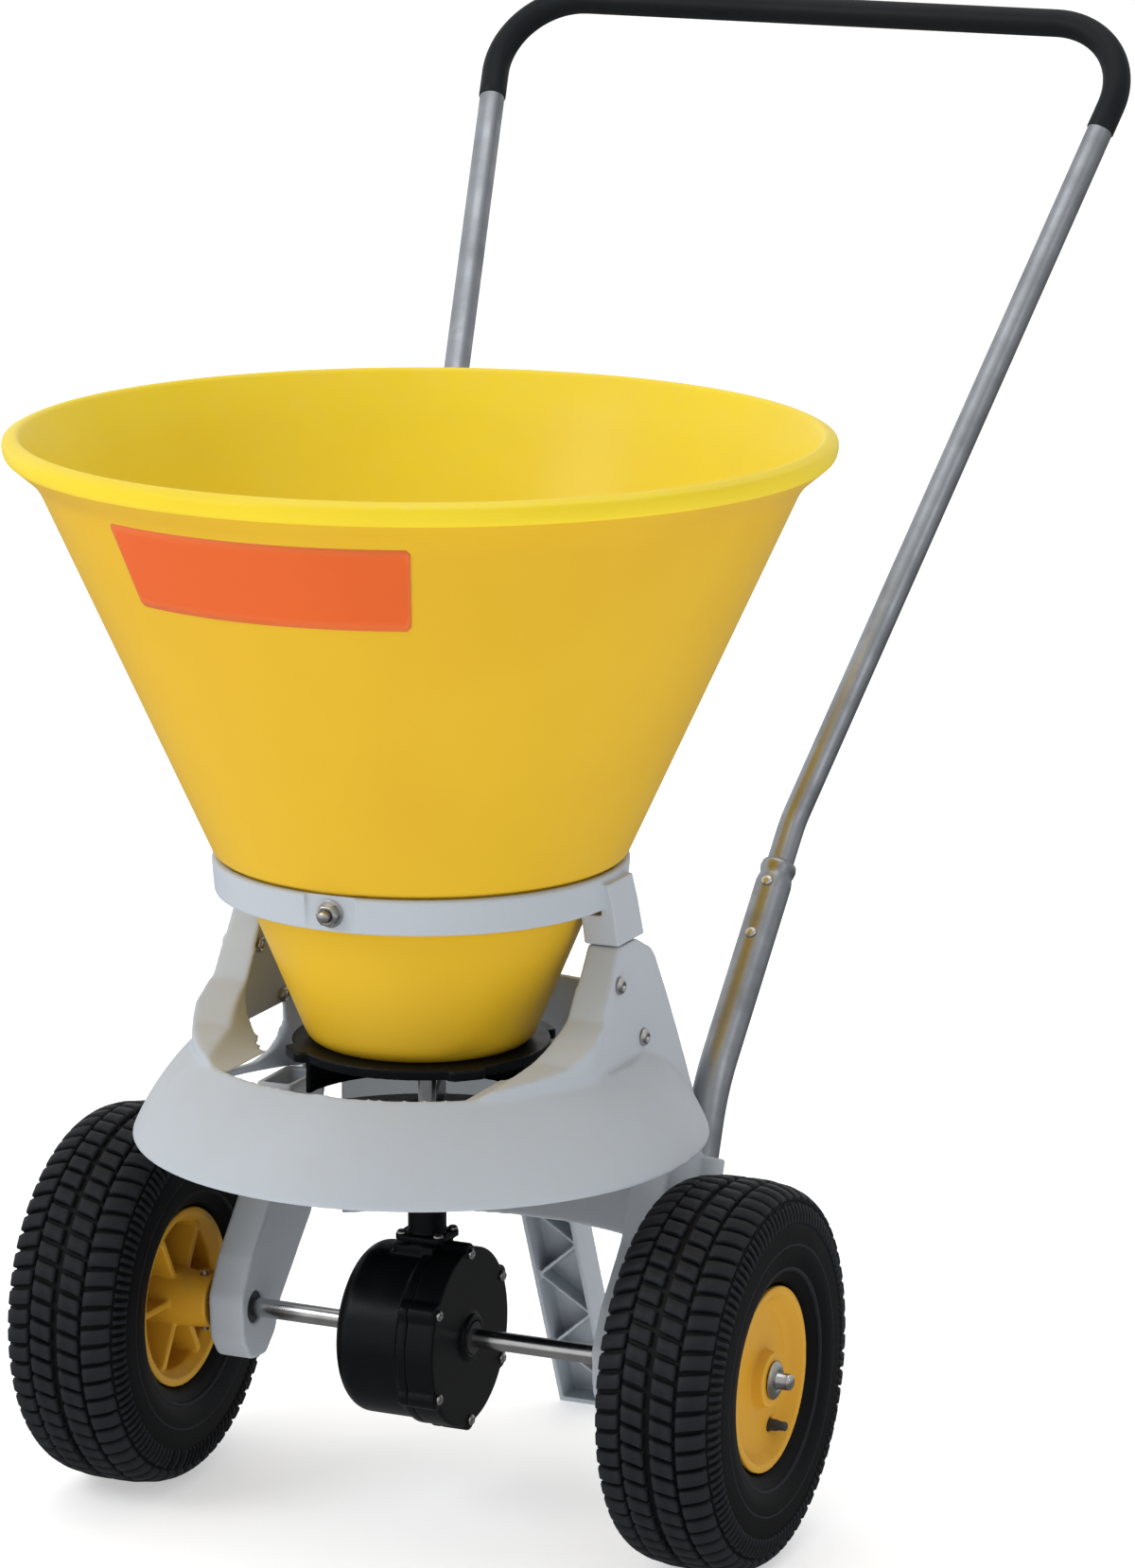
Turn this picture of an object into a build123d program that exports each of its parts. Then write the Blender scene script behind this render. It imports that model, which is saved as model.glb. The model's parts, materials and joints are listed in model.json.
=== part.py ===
from build123d import *
import os
from math import cos, pi, radians, sin

os.makedirs("parts", exist_ok=True)

# The origin is on the ground under the middle of the spreader. X runs along the axle, the spreader
# throws towards -Y and is pushed from +Y. Sizes in side views count from the axle line.
wheel_radius = 130.0
wheel_centre = 215.6
tyre_half_width = 42.5
hopper_offset = -9.0
lip_radius = 272.0
bar_back = 673.9
bar_height = 954.0
grip_radius = 10.1
axle_y = -(bar_back + grip_radius + hopper_offset - lip_radius) / 2

axle_radius = 6.5
axle_end_radius = 5.6
running_gap = 0.05
wall = 4.5
ring_bottom = 439.0
ring_top = 463.0
hopper_base = 337.0
hopper_wall = 4.4
skirt_bottom = 271.0
skirt_top = 335.0
post_top = 412.0
shield_bottom = 160.0
panel_top_x = 142.0
panel_foot_x = 145.0
leg_inner = 129.0
leg_outer = 156.0
sleeve_x = 149.5
sleeve_radius = 12.5
tube_radius = 9.3
shaft_radius = 6.0
disc_radius = 125.0
disc_bottom = 258.0
vane_top = 282.0
crown_teeth = 48
pinion_teeth = 12
pinion_pitch_radius = 11.25
crown_pitch_radius = pinion_pitch_radius * crown_teeth / pinion_teeth
screw_circle = 58.0
ring_bolt_height = 451.0
ring_bolt_radius = 4.0
ring_flat_depth = 134.6
lug_bolt_radius = 3.0
socket_bolt_place = (107.0, 220.0)
pin_radius = 3.0
hub_pin_x = -168.0
crown_pin_x = -26.5
valve_place = (20.0, -38.0)
bush_outer = 11.0
shaft_bush_outer = 9.0
port_radius = 10.0
cutter = 600.0


def side(x=0.0):
    """Side view plane at x: local x runs back from the axle, local y up from the ground."""
    return Plane(origin=(x, axle_y, 0), x_dir=(0, 1, 0), z_dir=(1, 0, 0))


def level(z, y=0.0):
    """Top view plane at height z, centred y behind the axle."""
    return Plane(origin=(0, axle_y + y, z), x_dir=(1, 0, 0), z_dir=(0, 0, 1))


def front(y=0.0):
    """Front view plane y behind the axle: local x runs along the axle, local y up from the ground."""
    return Plane(origin=(0, axle_y + y, 0), x_dir=(1, 0, 0), z_dir=(0, -1, 0))


def wheel_plane(x=0.0):
    """Front view plane whose local origin is on the axle line at x."""
    return Plane(origin=(x, axle_y, wheel_radius), x_dir=(1, 0, 0), z_dir=(0, -1, 0))


def across(x):
    """Plane square to the axle at x, centred on the axle line, local x to the rear, local y up."""
    return Plane(origin=(x, axle_y, wheel_radius), x_dir=(0, 1, 0), z_dir=(1, 0, 0))


def save(built, name):
    """Label a finished piece and write it."""
    built.part.label = name
    export_step(built.part, f"parts/{name}.step")


axle_line = Axis((0, axle_y, wheel_radius), (1, 0, 0))
hopper_line = Axis((0, axle_y + hopper_offset, 0), (0, 0, 1))


# Centre line of the handle's lower tubes in side view, and the plane at its foot
sleeve_foot = (100.0, 200.0)
sleeve_bend = (131.0, 284.0)
sleeve_end = (250.0, 413.0)
socket_line = Plane(origin=(0, axle_y + sleeve_foot[0], sleeve_foot[1]), x_dir=(1, 0, 0),
                    z_dir=(0, sleeve_bend[0] - sleeve_foot[0], sleeve_bend[1] - sleeve_foot[1]))

# Hopper: moulded bin with a flared lip, a groove for the clamp ring and an open floor
with BuildPart() as hopper:
    with BuildSketch(front(hopper_offset)):
        with BuildLine():
            FilletPolyline(
                (52, hopper_base), (74, hopper_base), (114.5, 434.5), (130.6, 438.8),
                (131.4, 463.2), (136.8, 465.8), (250, 714), (lip_radius - 1.5, 732),
                (lip_radius, 736), (lip_radius, 741), (262, 746), (246, 717), (132.2, 468), (127, 463),
                (126.2, 443), (110.8, 438), (70.5, hopper_base + hopper_wall),
                (52, hopper_base + hopper_wall),
                radius=[0, 7, 2, 2, 0.5, 1, 16, 2, 2, 2, 5, 12, 2, 1, 2, 2, 3, 0], close=True)
        make_face()
    revolve(axis=hopper_line)
    with BuildSketch(front()):
        with Locations((0, ring_bolt_height)):
            Circle(ring_bolt_radius + 0.1)
    extrude(amount=150, mode=Mode.SUBTRACT)
save(hopper, "hopper")

# Plain decal, bent round the hopper's cone
label_start = 244.0
label_turn = 50.0
label_low = 656.0
label_high = 712.0
cone_slope = (250 - 136.8) / (714 - 465.8)
with BuildPart() as hopper_label:
    start = Plane(origin=(0, axle_y + hopper_offset, 0),
                  x_dir=(cos(radians(label_start)), sin(radians(label_start)), 0),
                  z_dir=(sin(radians(label_start)), -cos(radians(label_start)), 0))
    low_r = 136.8 + cone_slope * (label_low - 465.8)
    high_r = 136.8 + cone_slope * (label_high - 465.8)
    with BuildSketch(start):
        Polygon((low_r + 0.05, label_low), (low_r + 0.65, label_low), (high_r + 0.65, label_high),
                (high_r + 0.05, label_high), align=None)
    revolve(axis=hopper_line, revolution_arc=label_turn)
save(hopper_label, "hopper_label")

# Clamp ring: band round the hopper's groove, with a flat at the front and a stepped lug each side
lug_bolt_places = [(-8, 387), (28, 344)]
with BuildPart() as hopper_ring:
    for hand in (-1, 1):
        with BuildSketch(side(hand * 122.0)):
            with BuildLine():
                FilletPolyline((-22, 458), (-14, 440), (2, 413), (-43, 338), (36, 338), (29, 413),
                               (12, 440), (10, 458), radius=[0, 4, 4, 6, 6, 4, 4, 0], close=True)
            make_face()
        extrude(amount=hand * 15.2)
        with BuildSketch(side(hand * 117)):
            Polygon((-24, 458), (-15, 440), (-6, post_top + 0.4), (36, post_top + 0.4), (25, 440), (16, 458),
                    align=None)
        extrude(amount=hand * (panel_top_x - 117.5))
    with BuildSketch(level(434, hopper_offset)):
        Circle(132)
    extrude(amount=40, mode=Mode.SUBTRACT)
    with BuildSketch(front(hopper_offset)):
        with BuildLine():
            FilletPolyline((131.8, ring_bottom), (136.2, ring_bottom), (138.2, ring_top),
                           (132.6, ring_top), radius=[0, 2, 2, 0], close=True)
        make_face()
    revolve(axis=hopper_line)
    with BuildSketch(level(430, hopper_offset - ring_flat_depth - 10)):
        Rectangle(35, 20)
    extrude(amount=40, mode=Mode.SUBTRACT)
    with BuildSketch(front()):
        with Locations((0, ring_bolt_height)):
            Circle(ring_bolt_radius + 0.1)
    extrude(amount=150, mode=Mode.SUBTRACT)
    with BuildSketch(side(-200)):
        with Locations(*lug_bolt_places):
            Circle(lug_bolt_radius + running_gap)
    extrude(amount=400, mode=Mode.SUBTRACT)
save(hopper_ring, "hopper_ring")

# Clamp screw of the ring: threaded end and hex nut in front, head inside the hopper
ring_flat = hopper_offset - ring_flat_depth
with BuildPart() as ring_bolt:
    with BuildSketch(front(ring_flat - 13)):
        with Locations((0, ring_bolt_height)):
            Circle(ring_bolt_radius)
    extrude(amount=-26)
    with BuildSketch(front(ring_flat + 12.6)):
        with Locations((0, ring_bolt_height)):
            Circle(8)
    extrude(amount=-3.5)
save(ring_bolt, "ring_bolt")

with BuildPart() as ring_nut:
    with BuildSketch(front(ring_flat)):
        with Locations((0, ring_bolt_height)):
            Circle(9)
    extrude(amount=1.6)
    with BuildSketch(front(ring_flat - 1.6)):
        with Locations((0, ring_bolt_height)):
            RegularPolygon(6.5, 6, major_radius=False)
    extrude(amount=6.4)
    with BuildSketch(front(ring_flat)):
        with Locations((0, ring_bolt_height)):
            Circle(ring_bolt_radius + running_gap)
    extrude(amount=10, mode=Mode.SUBTRACT)
save(ring_nut, "ring_nut")

# Frame shell: front skirt, two side posts with their panels, and the rear shield, one moulding
skirt_foot_r = 192.5
skirt_lip_r = 152.5
with BuildPart() as skirt:
    with BuildSketch(front(hopper_offset)):
        with BuildLine():
            ThreePointArc((skirt_foot_r, skirt_bottom + 2), (174.5, 306), (skirt_lip_r, skirt_top - 3))
            Line((skirt_lip_r, skirt_top - 3), (skirt_lip_r - 2.5, skirt_top))
            Line((skirt_lip_r - 2.5, skirt_top), (skirt_lip_r - 5, skirt_top - 2))
            ThreePointArc((skirt_lip_r - 5, skirt_top - 2), (170, 304), (skirt_foot_r - wall, skirt_bottom + 1))
            Line((skirt_foot_r - wall, skirt_bottom + 1), (skirt_foot_r - 2, skirt_bottom))
            Line((skirt_foot_r - 2, skirt_bottom), (skirt_foot_r, skirt_bottom + 2))
        make_face()
    revolve(axis=hopper_line)

with BuildPart() as skirt_space:
    with BuildSketch(front(hopper_offset)):
        with BuildLine():
            Line((0, skirt_bottom - 8), (skirt_foot_r - wall - 0.5, skirt_bottom - 8))
            Line((skirt_foot_r - wall - 0.5, skirt_bottom - 8), (skirt_foot_r - wall - 0.5, skirt_bottom + 1))
            ThreePointArc((skirt_foot_r - wall - 0.5, skirt_bottom + 1), (169.5, 304), (147, 332))
            Line((147, 332), (0, 332))
            Line((0, 332), (0, skirt_bottom - 8))
        make_face()
    revolve(axis=hopper_line)

with BuildPart() as tower_outside:
    with BuildSketch(front(hopper_offset)):
        Polygon((0, shield_bottom), (skirt_foot_r, shield_bottom), (skirt_foot_r, skirt_bottom + 1),
                (148.5, post_top), (0, post_top), align=None)
    revolve(axis=hopper_line)
    with BuildSketch(front(250)):
        Polygon((-panel_top_x, post_top), (-panel_foot_x, 333), (-150, skirt_bottom), (-128.5, 268),
                (-128.5, shield_bottom), (128.5, shield_bottom), (128.5, 268), (150, skirt_bottom),
                (panel_foot_x, 333), (panel_top_x, post_top), align=None)
    extrude(amount=500, mode=Mode.INTERSECT)
    with BuildSketch(side(-250)):
        Polygon((-5, post_top), (-57, 333), (-62, 300), (90, 262), (90, shield_bottom),
                (250, shield_bottom), (250, post_top), align=None)
    extrude(amount=500, mode=Mode.INTERSECT)

with BuildPart() as tower_space:
    with BuildSketch(front(hopper_offset)):
        Polygon((0, shield_bottom - 10), (skirt_foot_r - wall, shield_bottom - 10),
                (skirt_foot_r - wall, skirt_bottom + 1), (141.2, post_top + 10), (0, post_top + 10),
                align=None)
    revolve(axis=hopper_line)
    with BuildSketch(front(250)):
        Polygon((-137.5, post_top + 10), (-140.5, 333), (-145.5, skirt_bottom), (-145.5, 140),
                (145.5, 140), (145.5, skirt_bottom), (140.5, 333), (137.5, post_top + 10), align=None)
    extrude(amount=500, mode=Mode.INTERSECT)
    with BuildSketch(side(-250)):
        Polygon((6.5, post_top + 10), (-52, 333), (-57, 295), (-57, 140), (250, 140),
                (250, post_top + 10), align=None)
    extrude(amount=500, mode=Mode.INTERSECT)

with BuildPart() as side_walls:
    add(tower_outside.part)
    add(tower_space.part, mode=Mode.SUBTRACT)
    add(skirt_space.part, mode=Mode.SUBTRACT)
    with BuildSketch(front(0)):
        with BuildLine():
            FilletPolyline((-118.5, 425), (-115.5, 331), (115.5, 331), (118.5, 425),
                           radius=[0, 24, 24, 0], close=True)
        make_face()
    extrude(amount=250, mode=Mode.SUBTRACT)
    with BuildSketch(front(0)):
        with BuildLine():
            FilletPolyline((-112, 425), (-104, 345), (104, 345), (112, 425),
                           radius=[0, 20, 20, 0], close=True)
        make_face()
    extrude(amount=-250, mode=Mode.SUBTRACT)
    with BuildSketch(side(-250)):
        Polygon((22, post_top + 1), (92, 380), (220, 345), (220, post_top + 10), (22, post_top + 10),
                align=None)
    extrude(amount=500, mode=Mode.SUBTRACT)

# Webs that carry the posts' front faces down to the skirt's lip
web_drop = 331.0
with BuildPart() as post_webs:
    with BuildSketch(side(-panel_foot_x)):
        Polygon((-140, web_drop - 1), (-140, skirt_top), (-72, 347), (-34, 368), (-38, 354), (-52, 336),
                (-72, web_drop - 1), align=None)
    extrude(amount=2 * panel_foot_x)
    with BuildSketch(level(web_drop - 10, hopper_offset)):
        Circle(skirt_lip_r - 0.5)
    extrude(amount=60, mode=Mode.INTERSECT)
    with BuildSketch(front(0)):
        with BuildLine():
            FilletPolyline((-118.5, 425), (-115.5, web_drop), (115.5, web_drop), (118.5, 425),
                           radius=[0, 38, 38, 0], close=True)
        make_face()
    extrude(amount=250, mode=Mode.SUBTRACT)
    with BuildSketch(front(0)):
        Rectangle(160, 2 * web_drop + 2)
    extrude(amount=250, mode=Mode.SUBTRACT)

with BuildPart() as frame_shell:
    add(skirt.part)
    add(tower_space.part, mode=Mode.SUBTRACT)
    add(side_walls.part)
    add(post_webs.part)
    with BuildSketch(side(-120)):
        with BuildLine():
            FilletPolyline((-6, 279), (88, 279), (66, 341), (-6, 341), radius=[8, 14, 10, 8], close=True)
        make_face()
    extrude(amount=-90, mode=Mode.SUBTRACT)
    with BuildSketch(side(-200)):
        with Locations(*lug_bolt_places):
            Circle(lug_bolt_radius + running_gap)
    extrude(amount=400, mode=Mode.SUBTRACT)
    with BuildSketch(socket_line):
        with Locations((sleeve_x, 0), (-sleeve_x, 0)):
            Circle(sleeve_radius + 0.8)
    extrude(amount=100, mode=Mode.SUBTRACT)
save(frame_shell, "frame_shell")

# Two bolts a side hold the ring's lugs in the posts
with BuildPart() as lug_bolts:
    for hand in (-1, 1):
        for y, z in lug_bolt_places:
            panel_x = panel_top_x + (panel_foot_x - panel_top_x) * (post_top - z) / (post_top - 333)
            with BuildSketch(side(hand * 118)):
                with Locations((y, z)):
                    Circle(lug_bolt_radius)
            extrude(amount=hand * (panel_x - 117))
            with BuildSketch(side(hand * 118)):
                with Locations((y, z)):
                    RegularPolygon(5, 6, major_radius=False)
            extrude(amount=hand * 4)
            with BuildSketch(side(hand * (panel_x + 0.2))):
                with Locations((y, z)):
                    Circle(6)
            extrude(amount=hand * 3.4, taper=35)
save(lug_bolts, "lug_bolts")

# Axle legs: hollow mouldings under the frame, each with a socket for the handle's lower tube
leg_outline = [(58, 300), (52, 255), (27, 202), (-5, 166), (-20, 140), (-18, 110), (-7, 94),
               (16, 92), (30, 105), (38, 124), (87, 175), (106, 230), (102, 300)]
leg_space = [(64, 302), (57, 254), (32, 200), (10, 172), (50, 148), (82, 177), (100, 230), (97, 302)]
for hand, leg_name in ((-1, "axle_leg_left"), (1, "axle_leg_right")):
    with BuildPart() as axle_leg:
        with BuildSketch(side(hand * leg_inner)):
            with BuildLine():
                FilletPolyline(*leg_outline, radius=[0, 20, 25, 20, 14, 12, 10, 10, 8, 14, 14, 30, 0],
                               close=True)
            make_face()
        extrude(amount=hand * (leg_outer - leg_inner))
        long_edges = axle_leg.edges().filter_by(lambda e: e.center().Z < skirt_bottom - 20
                                                and abs(e.center().X) > leg_outer - 1)
        fillet(long_edges, radius=3)
        with BuildSketch(side(hand * (leg_inner + 4))):
            Polygon(*leg_space, align=None)
        extrude(amount=hand * (leg_outer - leg_inner - 8), mode=Mode.SUBTRACT)
        with BuildSketch(level(skirt_bottom + 1, hopper_offset)):
            Rectangle(cutter, cutter)
        extrude(amount=60, mode=Mode.SUBTRACT)
        with BuildSketch(socket_line):
            with Locations((hand * sleeve_x, 0)):
                Circle(sleeve_radius + 4.5)
        extrude(amount=43)
        with BuildSketch(socket_line.offset(3)):
            with Locations((hand * sleeve_x, 0)):
                Circle(sleeve_radius + 0.05)
        extrude(amount=100, mode=Mode.SUBTRACT)
        with BuildSketch(side(hand * 100)):
            with Locations((0, wheel_radius)):
                Circle(bush_outer)
        extrude(amount=hand * 80, mode=Mode.SUBTRACT)
        with BuildSketch(side(hand * 100)):
            with Locations(socket_bolt_place):
                Circle(lug_bolt_radius + running_gap)
        extrude(amount=hand * 80, mode=Mode.SUBTRACT)
    save(axle_leg, leg_name)

# Cross bolts that hold the lower tubes in the legs' sockets
with BuildPart() as socket_bolts:
    for hand in (-1, 1):
        with BuildSketch(side(hand * 124)):
            with Locations(socket_bolt_place):
                Circle(lug_bolt_radius)
        extrude(amount=hand * 42.7)
        with BuildSketch(side(hand * 166.6)):
            with Locations(socket_bolt_place):
                Circle(5.5)
        extrude(amount=hand * 3, taper=30)
save(socket_bolts, "socket_bolts")

# Zigzag rib inside the rear leg
rear_leg_half = 20.0
rear_leg_wall = 3.2
brace_low = 18.0
brace_step = 29.0
brace_reach = rear_leg_half - rear_leg_wall + 0.2
with BuildPart() as leg_brace:
    with BuildSketch(front(300)):
        for index in range(5):
            lean = brace_reach if index % 2 else -brace_reach
            low = brace_low + index * brace_step
            Polygon((-lean, low), (lean, low + brace_step), (lean, low + brace_step + 3), (-lean, low + 3),
                    align=None)
    extrude(amount=150)
    with BuildSketch(side(-rear_leg_half)):
        Polygon((191.5, 170), (212, 170), (285, 2), (266, 2), align=None)
    extrude(amount=2 * rear_leg_half, mode=Mode.INTERSECT)

# Rear leg: channel open to the front, braced by the rib; its closed lower end is the foot
with BuildPart() as rear_leg:
    with BuildSketch(side(-rear_leg_half)):
        Polygon((186, 175), (262, 0), (289, 0), (214, 175), align=None)
    extrude(amount=2 * rear_leg_half)
    with BuildSketch(side(-rear_leg_half + rear_leg_wall)):
        Polygon((180, 166), (249, 4), (283, 4), (211, 166), align=None)
    extrude(amount=2 * (rear_leg_half - rear_leg_wall), mode=Mode.SUBTRACT)
    add(leg_brace.part)
    with BuildSketch(level(shield_bottom - 5, hopper_offset)):
        Circle(skirt_foot_r - wall)
    extrude(amount=40, mode=Mode.SUBTRACT)
save(rear_leg, "rear_leg")

# Axle bushes: flanged plastic bushes pressed into the legs
with BuildPart() as axle_bushes:
    for hand in (-1, 1):
        with BuildSketch(side(hand * (leg_inner + 2))):
            with Locations((0, wheel_radius)):
                Circle(bush_outer)
                Circle(axle_radius + running_gap, mode=Mode.SUBTRACT)
        extrude(amount=hand * (leg_outer - leg_inner - 2))
save(axle_bushes, "axle_bushes")

# Axle: ground bar with a turned end each side for the push-on washer
with BuildPart() as axle:
    with BuildSketch(wheel_plane()):
        Polygon((-265, 0), (-265, axle_end_radius - 1), (-264, axle_end_radius), (-252, axle_end_radius),
                (-252, axle_radius), (252, axle_radius), (252, axle_end_radius), (264, axle_end_radius),
                (265, axle_end_radius - 1), (265, 0), align=None)
    revolve(axis=axle_line)
    with BuildSketch(level(90)):
        with Locations((260.5, 0), (-260.5, 0)):
            Circle(1.6)
        with Locations((hub_pin_x, 0), (crown_pin_x, 0)):
            Circle(pin_radius)
    extrude(amount=80, mode=Mode.SUBTRACT)
save(axle, "axle")

# Domed push-on washers on the axle's turned ends
washer_x = 252.0
for hand, washer_name in ((-1, "washer_left"), (1, "washer_right")):
    with BuildPart() as washer:
        bore = axle_end_radius + running_gap
        outline = [(0, bore), (0, 13), (1.2, 13), (3.4, 9), (3.4, bore)]
        with BuildSketch(wheel_plane(hand * washer_x)):
            Polygon(*[(hand * x, r) for x, r in outline], align=None)
        revolve(axis=axle_line)
    save(washer, washer_name)

# Rims: moulded, with a dished outer disc, a long hub and six ribs behind the disc
hub_inner = 159.5
hub_outer = 251.3
rim_names = ((-1, "rim_left", axle_radius), (1, "rim_right", 10.0))
for hand, rim_name, bore in rim_names:
    with BuildPart() as rim:
        with BuildSketch(wheel_plane(hand * wheel_centre)):
            outline = [(-32.6, 57), (-32.6, 62), (-29, 62), (-27, 54), (28, 54), (31, 62), (34.4, 62),
                       (34.4, 57), (27, 50), (25, 46), (27, 20), (35.7, 18), (35.7, bore),
                       (-56.1, bore), (-56.1, 18), (-30, 20), (14, 22), (16, 47), (10, 51), (-25, 51)]
            Polygon(*[(hand * x, r) for x, r in outline], align=None)
        revolve(axis=axle_line)
        with BuildSketch(across(hand * (wheel_centre - 30))):
            with PolarLocations(36, 6):
                Rectangle(32, 5)
        extrude(amount=hand * 48)
        with BuildSketch(across(hand * (wheel_centre + 5))):
            with Locations(valve_place):
                Circle(4.5)
        extrude(amount=hand * 40, mode=Mode.SUBTRACT)
        if hand < 0:
            with BuildSketch(level(90)):
                with Locations((hub_pin_x, 0)):
                    Circle(pin_radius)
            extrude(amount=80, mode=Mode.SUBTRACT)
    save(rim, rim_name)

# Valve stems through the rims' discs
for hand, valve_name in ((-1, "valve_left"), (1, "valve_right")):
    with BuildPart() as valve:
        with BuildSketch(across(hand * (wheel_centre + 6))):
            with Locations(valve_place):
                Circle(4.4)
        extrude(amount=hand * 24)
        with BuildSketch(across(hand * (wheel_centre + 30))):
            with Locations(valve_place):
                Circle(3.2)
        extrude(amount=hand * 8)
    save(valve, valve_name)

# Tyres: hollow casings that sit on the rims' bead seats
for hand, tyre_name in ((-1, "tyre_left"), (1, "tyre_right")):
    with BuildPart() as tyre:
        with BuildSketch(wheel_plane(hand * wheel_centre)):
            with BuildLine():
                FilletPolyline((-26, 54.2), (-28.6, 62.4), (-35, 65.5), (-tyre_half_width, 80),
                               (-tyre_half_width, 106), (-38, 122), (-26, 128.5), (0, 130.48),
                               (26, 128.5), (38, 122), (tyre_half_width, 106), (tyre_half_width, 80),
                               (35, 65.5), (28.6, 62.4), (26, 54.2),
                               radius=[0, 2, 3, 14, 12, 6, 6, 180, 6, 6, 12, 14, 3, 2, 0], close=True)
            make_face()
            with BuildLine():
                FilletPolyline((-20, 54), (-22, 62), (-35, 80), (-35, 102), (-30, 115), (30, 115),
                               (35, 102), (35, 80), (22, 62), (20, 54),
                               radius=[0, 6, 10, 8, 8, 8, 8, 10, 6, 0], close=True)
            make_face(mode=Mode.SUBTRACT)
        revolve(axis=axle_line)
    save(tyre, tyre_name)

# Hub pin: fixes the left wheel to the axle, so that wheel drives the gears
with BuildPart() as hub_pin:
    with BuildSketch(level(wheel_radius - 21)):
        with Locations((hub_pin_x, 0)):
            Circle(pin_radius - running_gap)
    extrude(amount=42)
save(hub_pin, "hub_pin")

# Bushes of the free right wheel
with BuildPart() as hub_bushes:
    for start_x, length in ((hub_inner + 0.2, 26), (hub_outer - 26.2, 26)):
        with BuildSketch(across(start_x)):
            Circle(10)
            Circle(axle_radius + running_gap, mode=Mode.SUBTRACT)
        extrude(amount=length)
save(hub_bushes, "hub_bushes")

# Gearbox housing: drum with its open side to the right, a screw flange and a block for the neck
drum_left = -44.0
joint_x = 12.0
cover_x = 32.0
drum_radius = 58.5
inner_radius = 54.0
with BuildPart() as gearbox_housing:
    with BuildSketch(wheel_plane()):
        with BuildLine():
            FilletPolyline((drum_left, 0), (drum_left, drum_radius), (joint_x, drum_radius), (joint_x, 0),
                           radius=[0, 12, 0, 0], close=True)
        make_face()
    revolve(axis=axle_line)
    with BuildSketch(across(joint_x - 7)):
        Circle(61)
        with PolarLocations(screw_circle, 6, start_angle=30):
            Circle(7.5)
    extrude(amount=7)
    with BuildSketch(level(176)):
        with Locations((1, 0)):
            RectangleRounded(40, 34, 5)
    extrude(amount=18)
    with BuildSketch(level(194)):
        Circle(16)
    extrude(amount=2)
    with BuildSketch(wheel_plane()):
        Polygon((drum_left + wall, 0), (drum_left + wall, 43), (drum_left + 13, inner_radius),
                (joint_x + 40, inner_radius),
                (joint_x + 40, 0), align=None)
    revolve(axis=axle_line, mode=Mode.SUBTRACT)
    with BuildSketch(side(joint_x)):
        with Locations((0, 190)):
            Rectangle(60, 40)
    extrude(amount=20, mode=Mode.SUBTRACT)
    with BuildSketch(across(drum_left - 1)):
        Circle(bush_outer)
    extrude(amount=10, mode=Mode.SUBTRACT)
    with BuildSketch(level(170)):
        Circle(shaft_bush_outer)
    extrude(amount=40, mode=Mode.SUBTRACT)
    with BuildSketch(across(joint_x - 8)):
        with PolarLocations(screw_circle, 6, start_angle=30):
            Circle(1.9)
    extrude(amount=20, mode=Mode.SUBTRACT)
save(gearbox_housing, "gearbox_housing")

# Gearbox cover: right half, held by six screws
with BuildPart() as gearbox_cover:
    with BuildSketch(across(joint_x)):
        Circle(61)
        with PolarLocations(screw_circle, 6, start_angle=30):
            Circle(7.5)
    extrude(amount=cover_x - joint_x)
    fillet(gearbox_cover.edges().group_by(Axis.X)[-1], radius=1.5)
    with BuildSketch(across(cover_x)):
        Circle(16)
    extrude(amount=3)
    with BuildSketch(across(joint_x)):
        Circle(52)
    extrude(amount=cover_x - joint_x - 5, mode=Mode.SUBTRACT)
    with BuildSketch(across(joint_x)):
        Circle(bush_outer)
    extrude(amount=30, mode=Mode.SUBTRACT)
    with BuildSketch(across(joint_x)):
        with PolarLocations(screw_circle, 6, start_angle=30):
            Circle(2.1)
    extrude(amount=30, mode=Mode.SUBTRACT)
save(gearbox_cover, "gearbox_cover")

with BuildPart() as cover_screws:
    with BuildSketch(across(joint_x - 2)):
        with PolarLocations(screw_circle, 6, start_angle=30):
            Circle(1.85)
    extrude(amount=cover_x - joint_x + 3)
    with BuildSketch(across(cover_x)):
        with PolarLocations(screw_circle, 6, start_angle=30):
            Circle(3.8)
    extrude(amount=2.6, taper=20)
save(cover_screws, "cover_screws")

with BuildPart() as gearbox_bushes:
    for start_x, length in ((drum_left - 0.5, 8), (cover_x - 6, 9.5)):
        with BuildSketch(across(start_x)):
            Circle(bush_outer)
            Circle(axle_radius + running_gap, mode=Mode.SUBTRACT)
        extrude(amount=length)
save(gearbox_bushes, "gearbox_bushes")

# Neck: tube that carries the upright shaft up to the spinner disc
neck_bottom = 196.0
neck_top = 254.0
neck_screw_places = [(-13.5, 11.5), (-13.5, -11.5), (13.5, 11.5), (13.5, -11.5)]
with BuildPart() as gearbox_neck:
    with BuildSketch(level(neck_bottom)):
        Circle(13)
    extrude(amount=neck_top - neck_bottom)
    with BuildSketch(level(neck_bottom)):
        RectangleRounded(36, 32, 6)
    extrude(amount=4)
    with BuildSketch(level(neck_bottom - 1)):
        Circle(shaft_bush_outer)
    extrude(amount=neck_top, mode=Mode.SUBTRACT)
    with BuildSketch(level(neck_bottom - 1)):
        with Locations(*neck_screw_places):
            Circle(2.05)
    extrude(amount=6, mode=Mode.SUBTRACT)
save(gearbox_neck, "gearbox_neck")

with BuildPart() as neck_screws:
    with BuildSketch(level(neck_bottom)):
        with Locations(*neck_screw_places):
            Circle(2)
    extrude(amount=5)
    with BuildSketch(level(neck_bottom + 4)):
        with Locations(*neck_screw_places):
            Circle(3.6)
    extrude(amount=2.8, taper=15)
save(neck_screws, "neck_screws")

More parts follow.
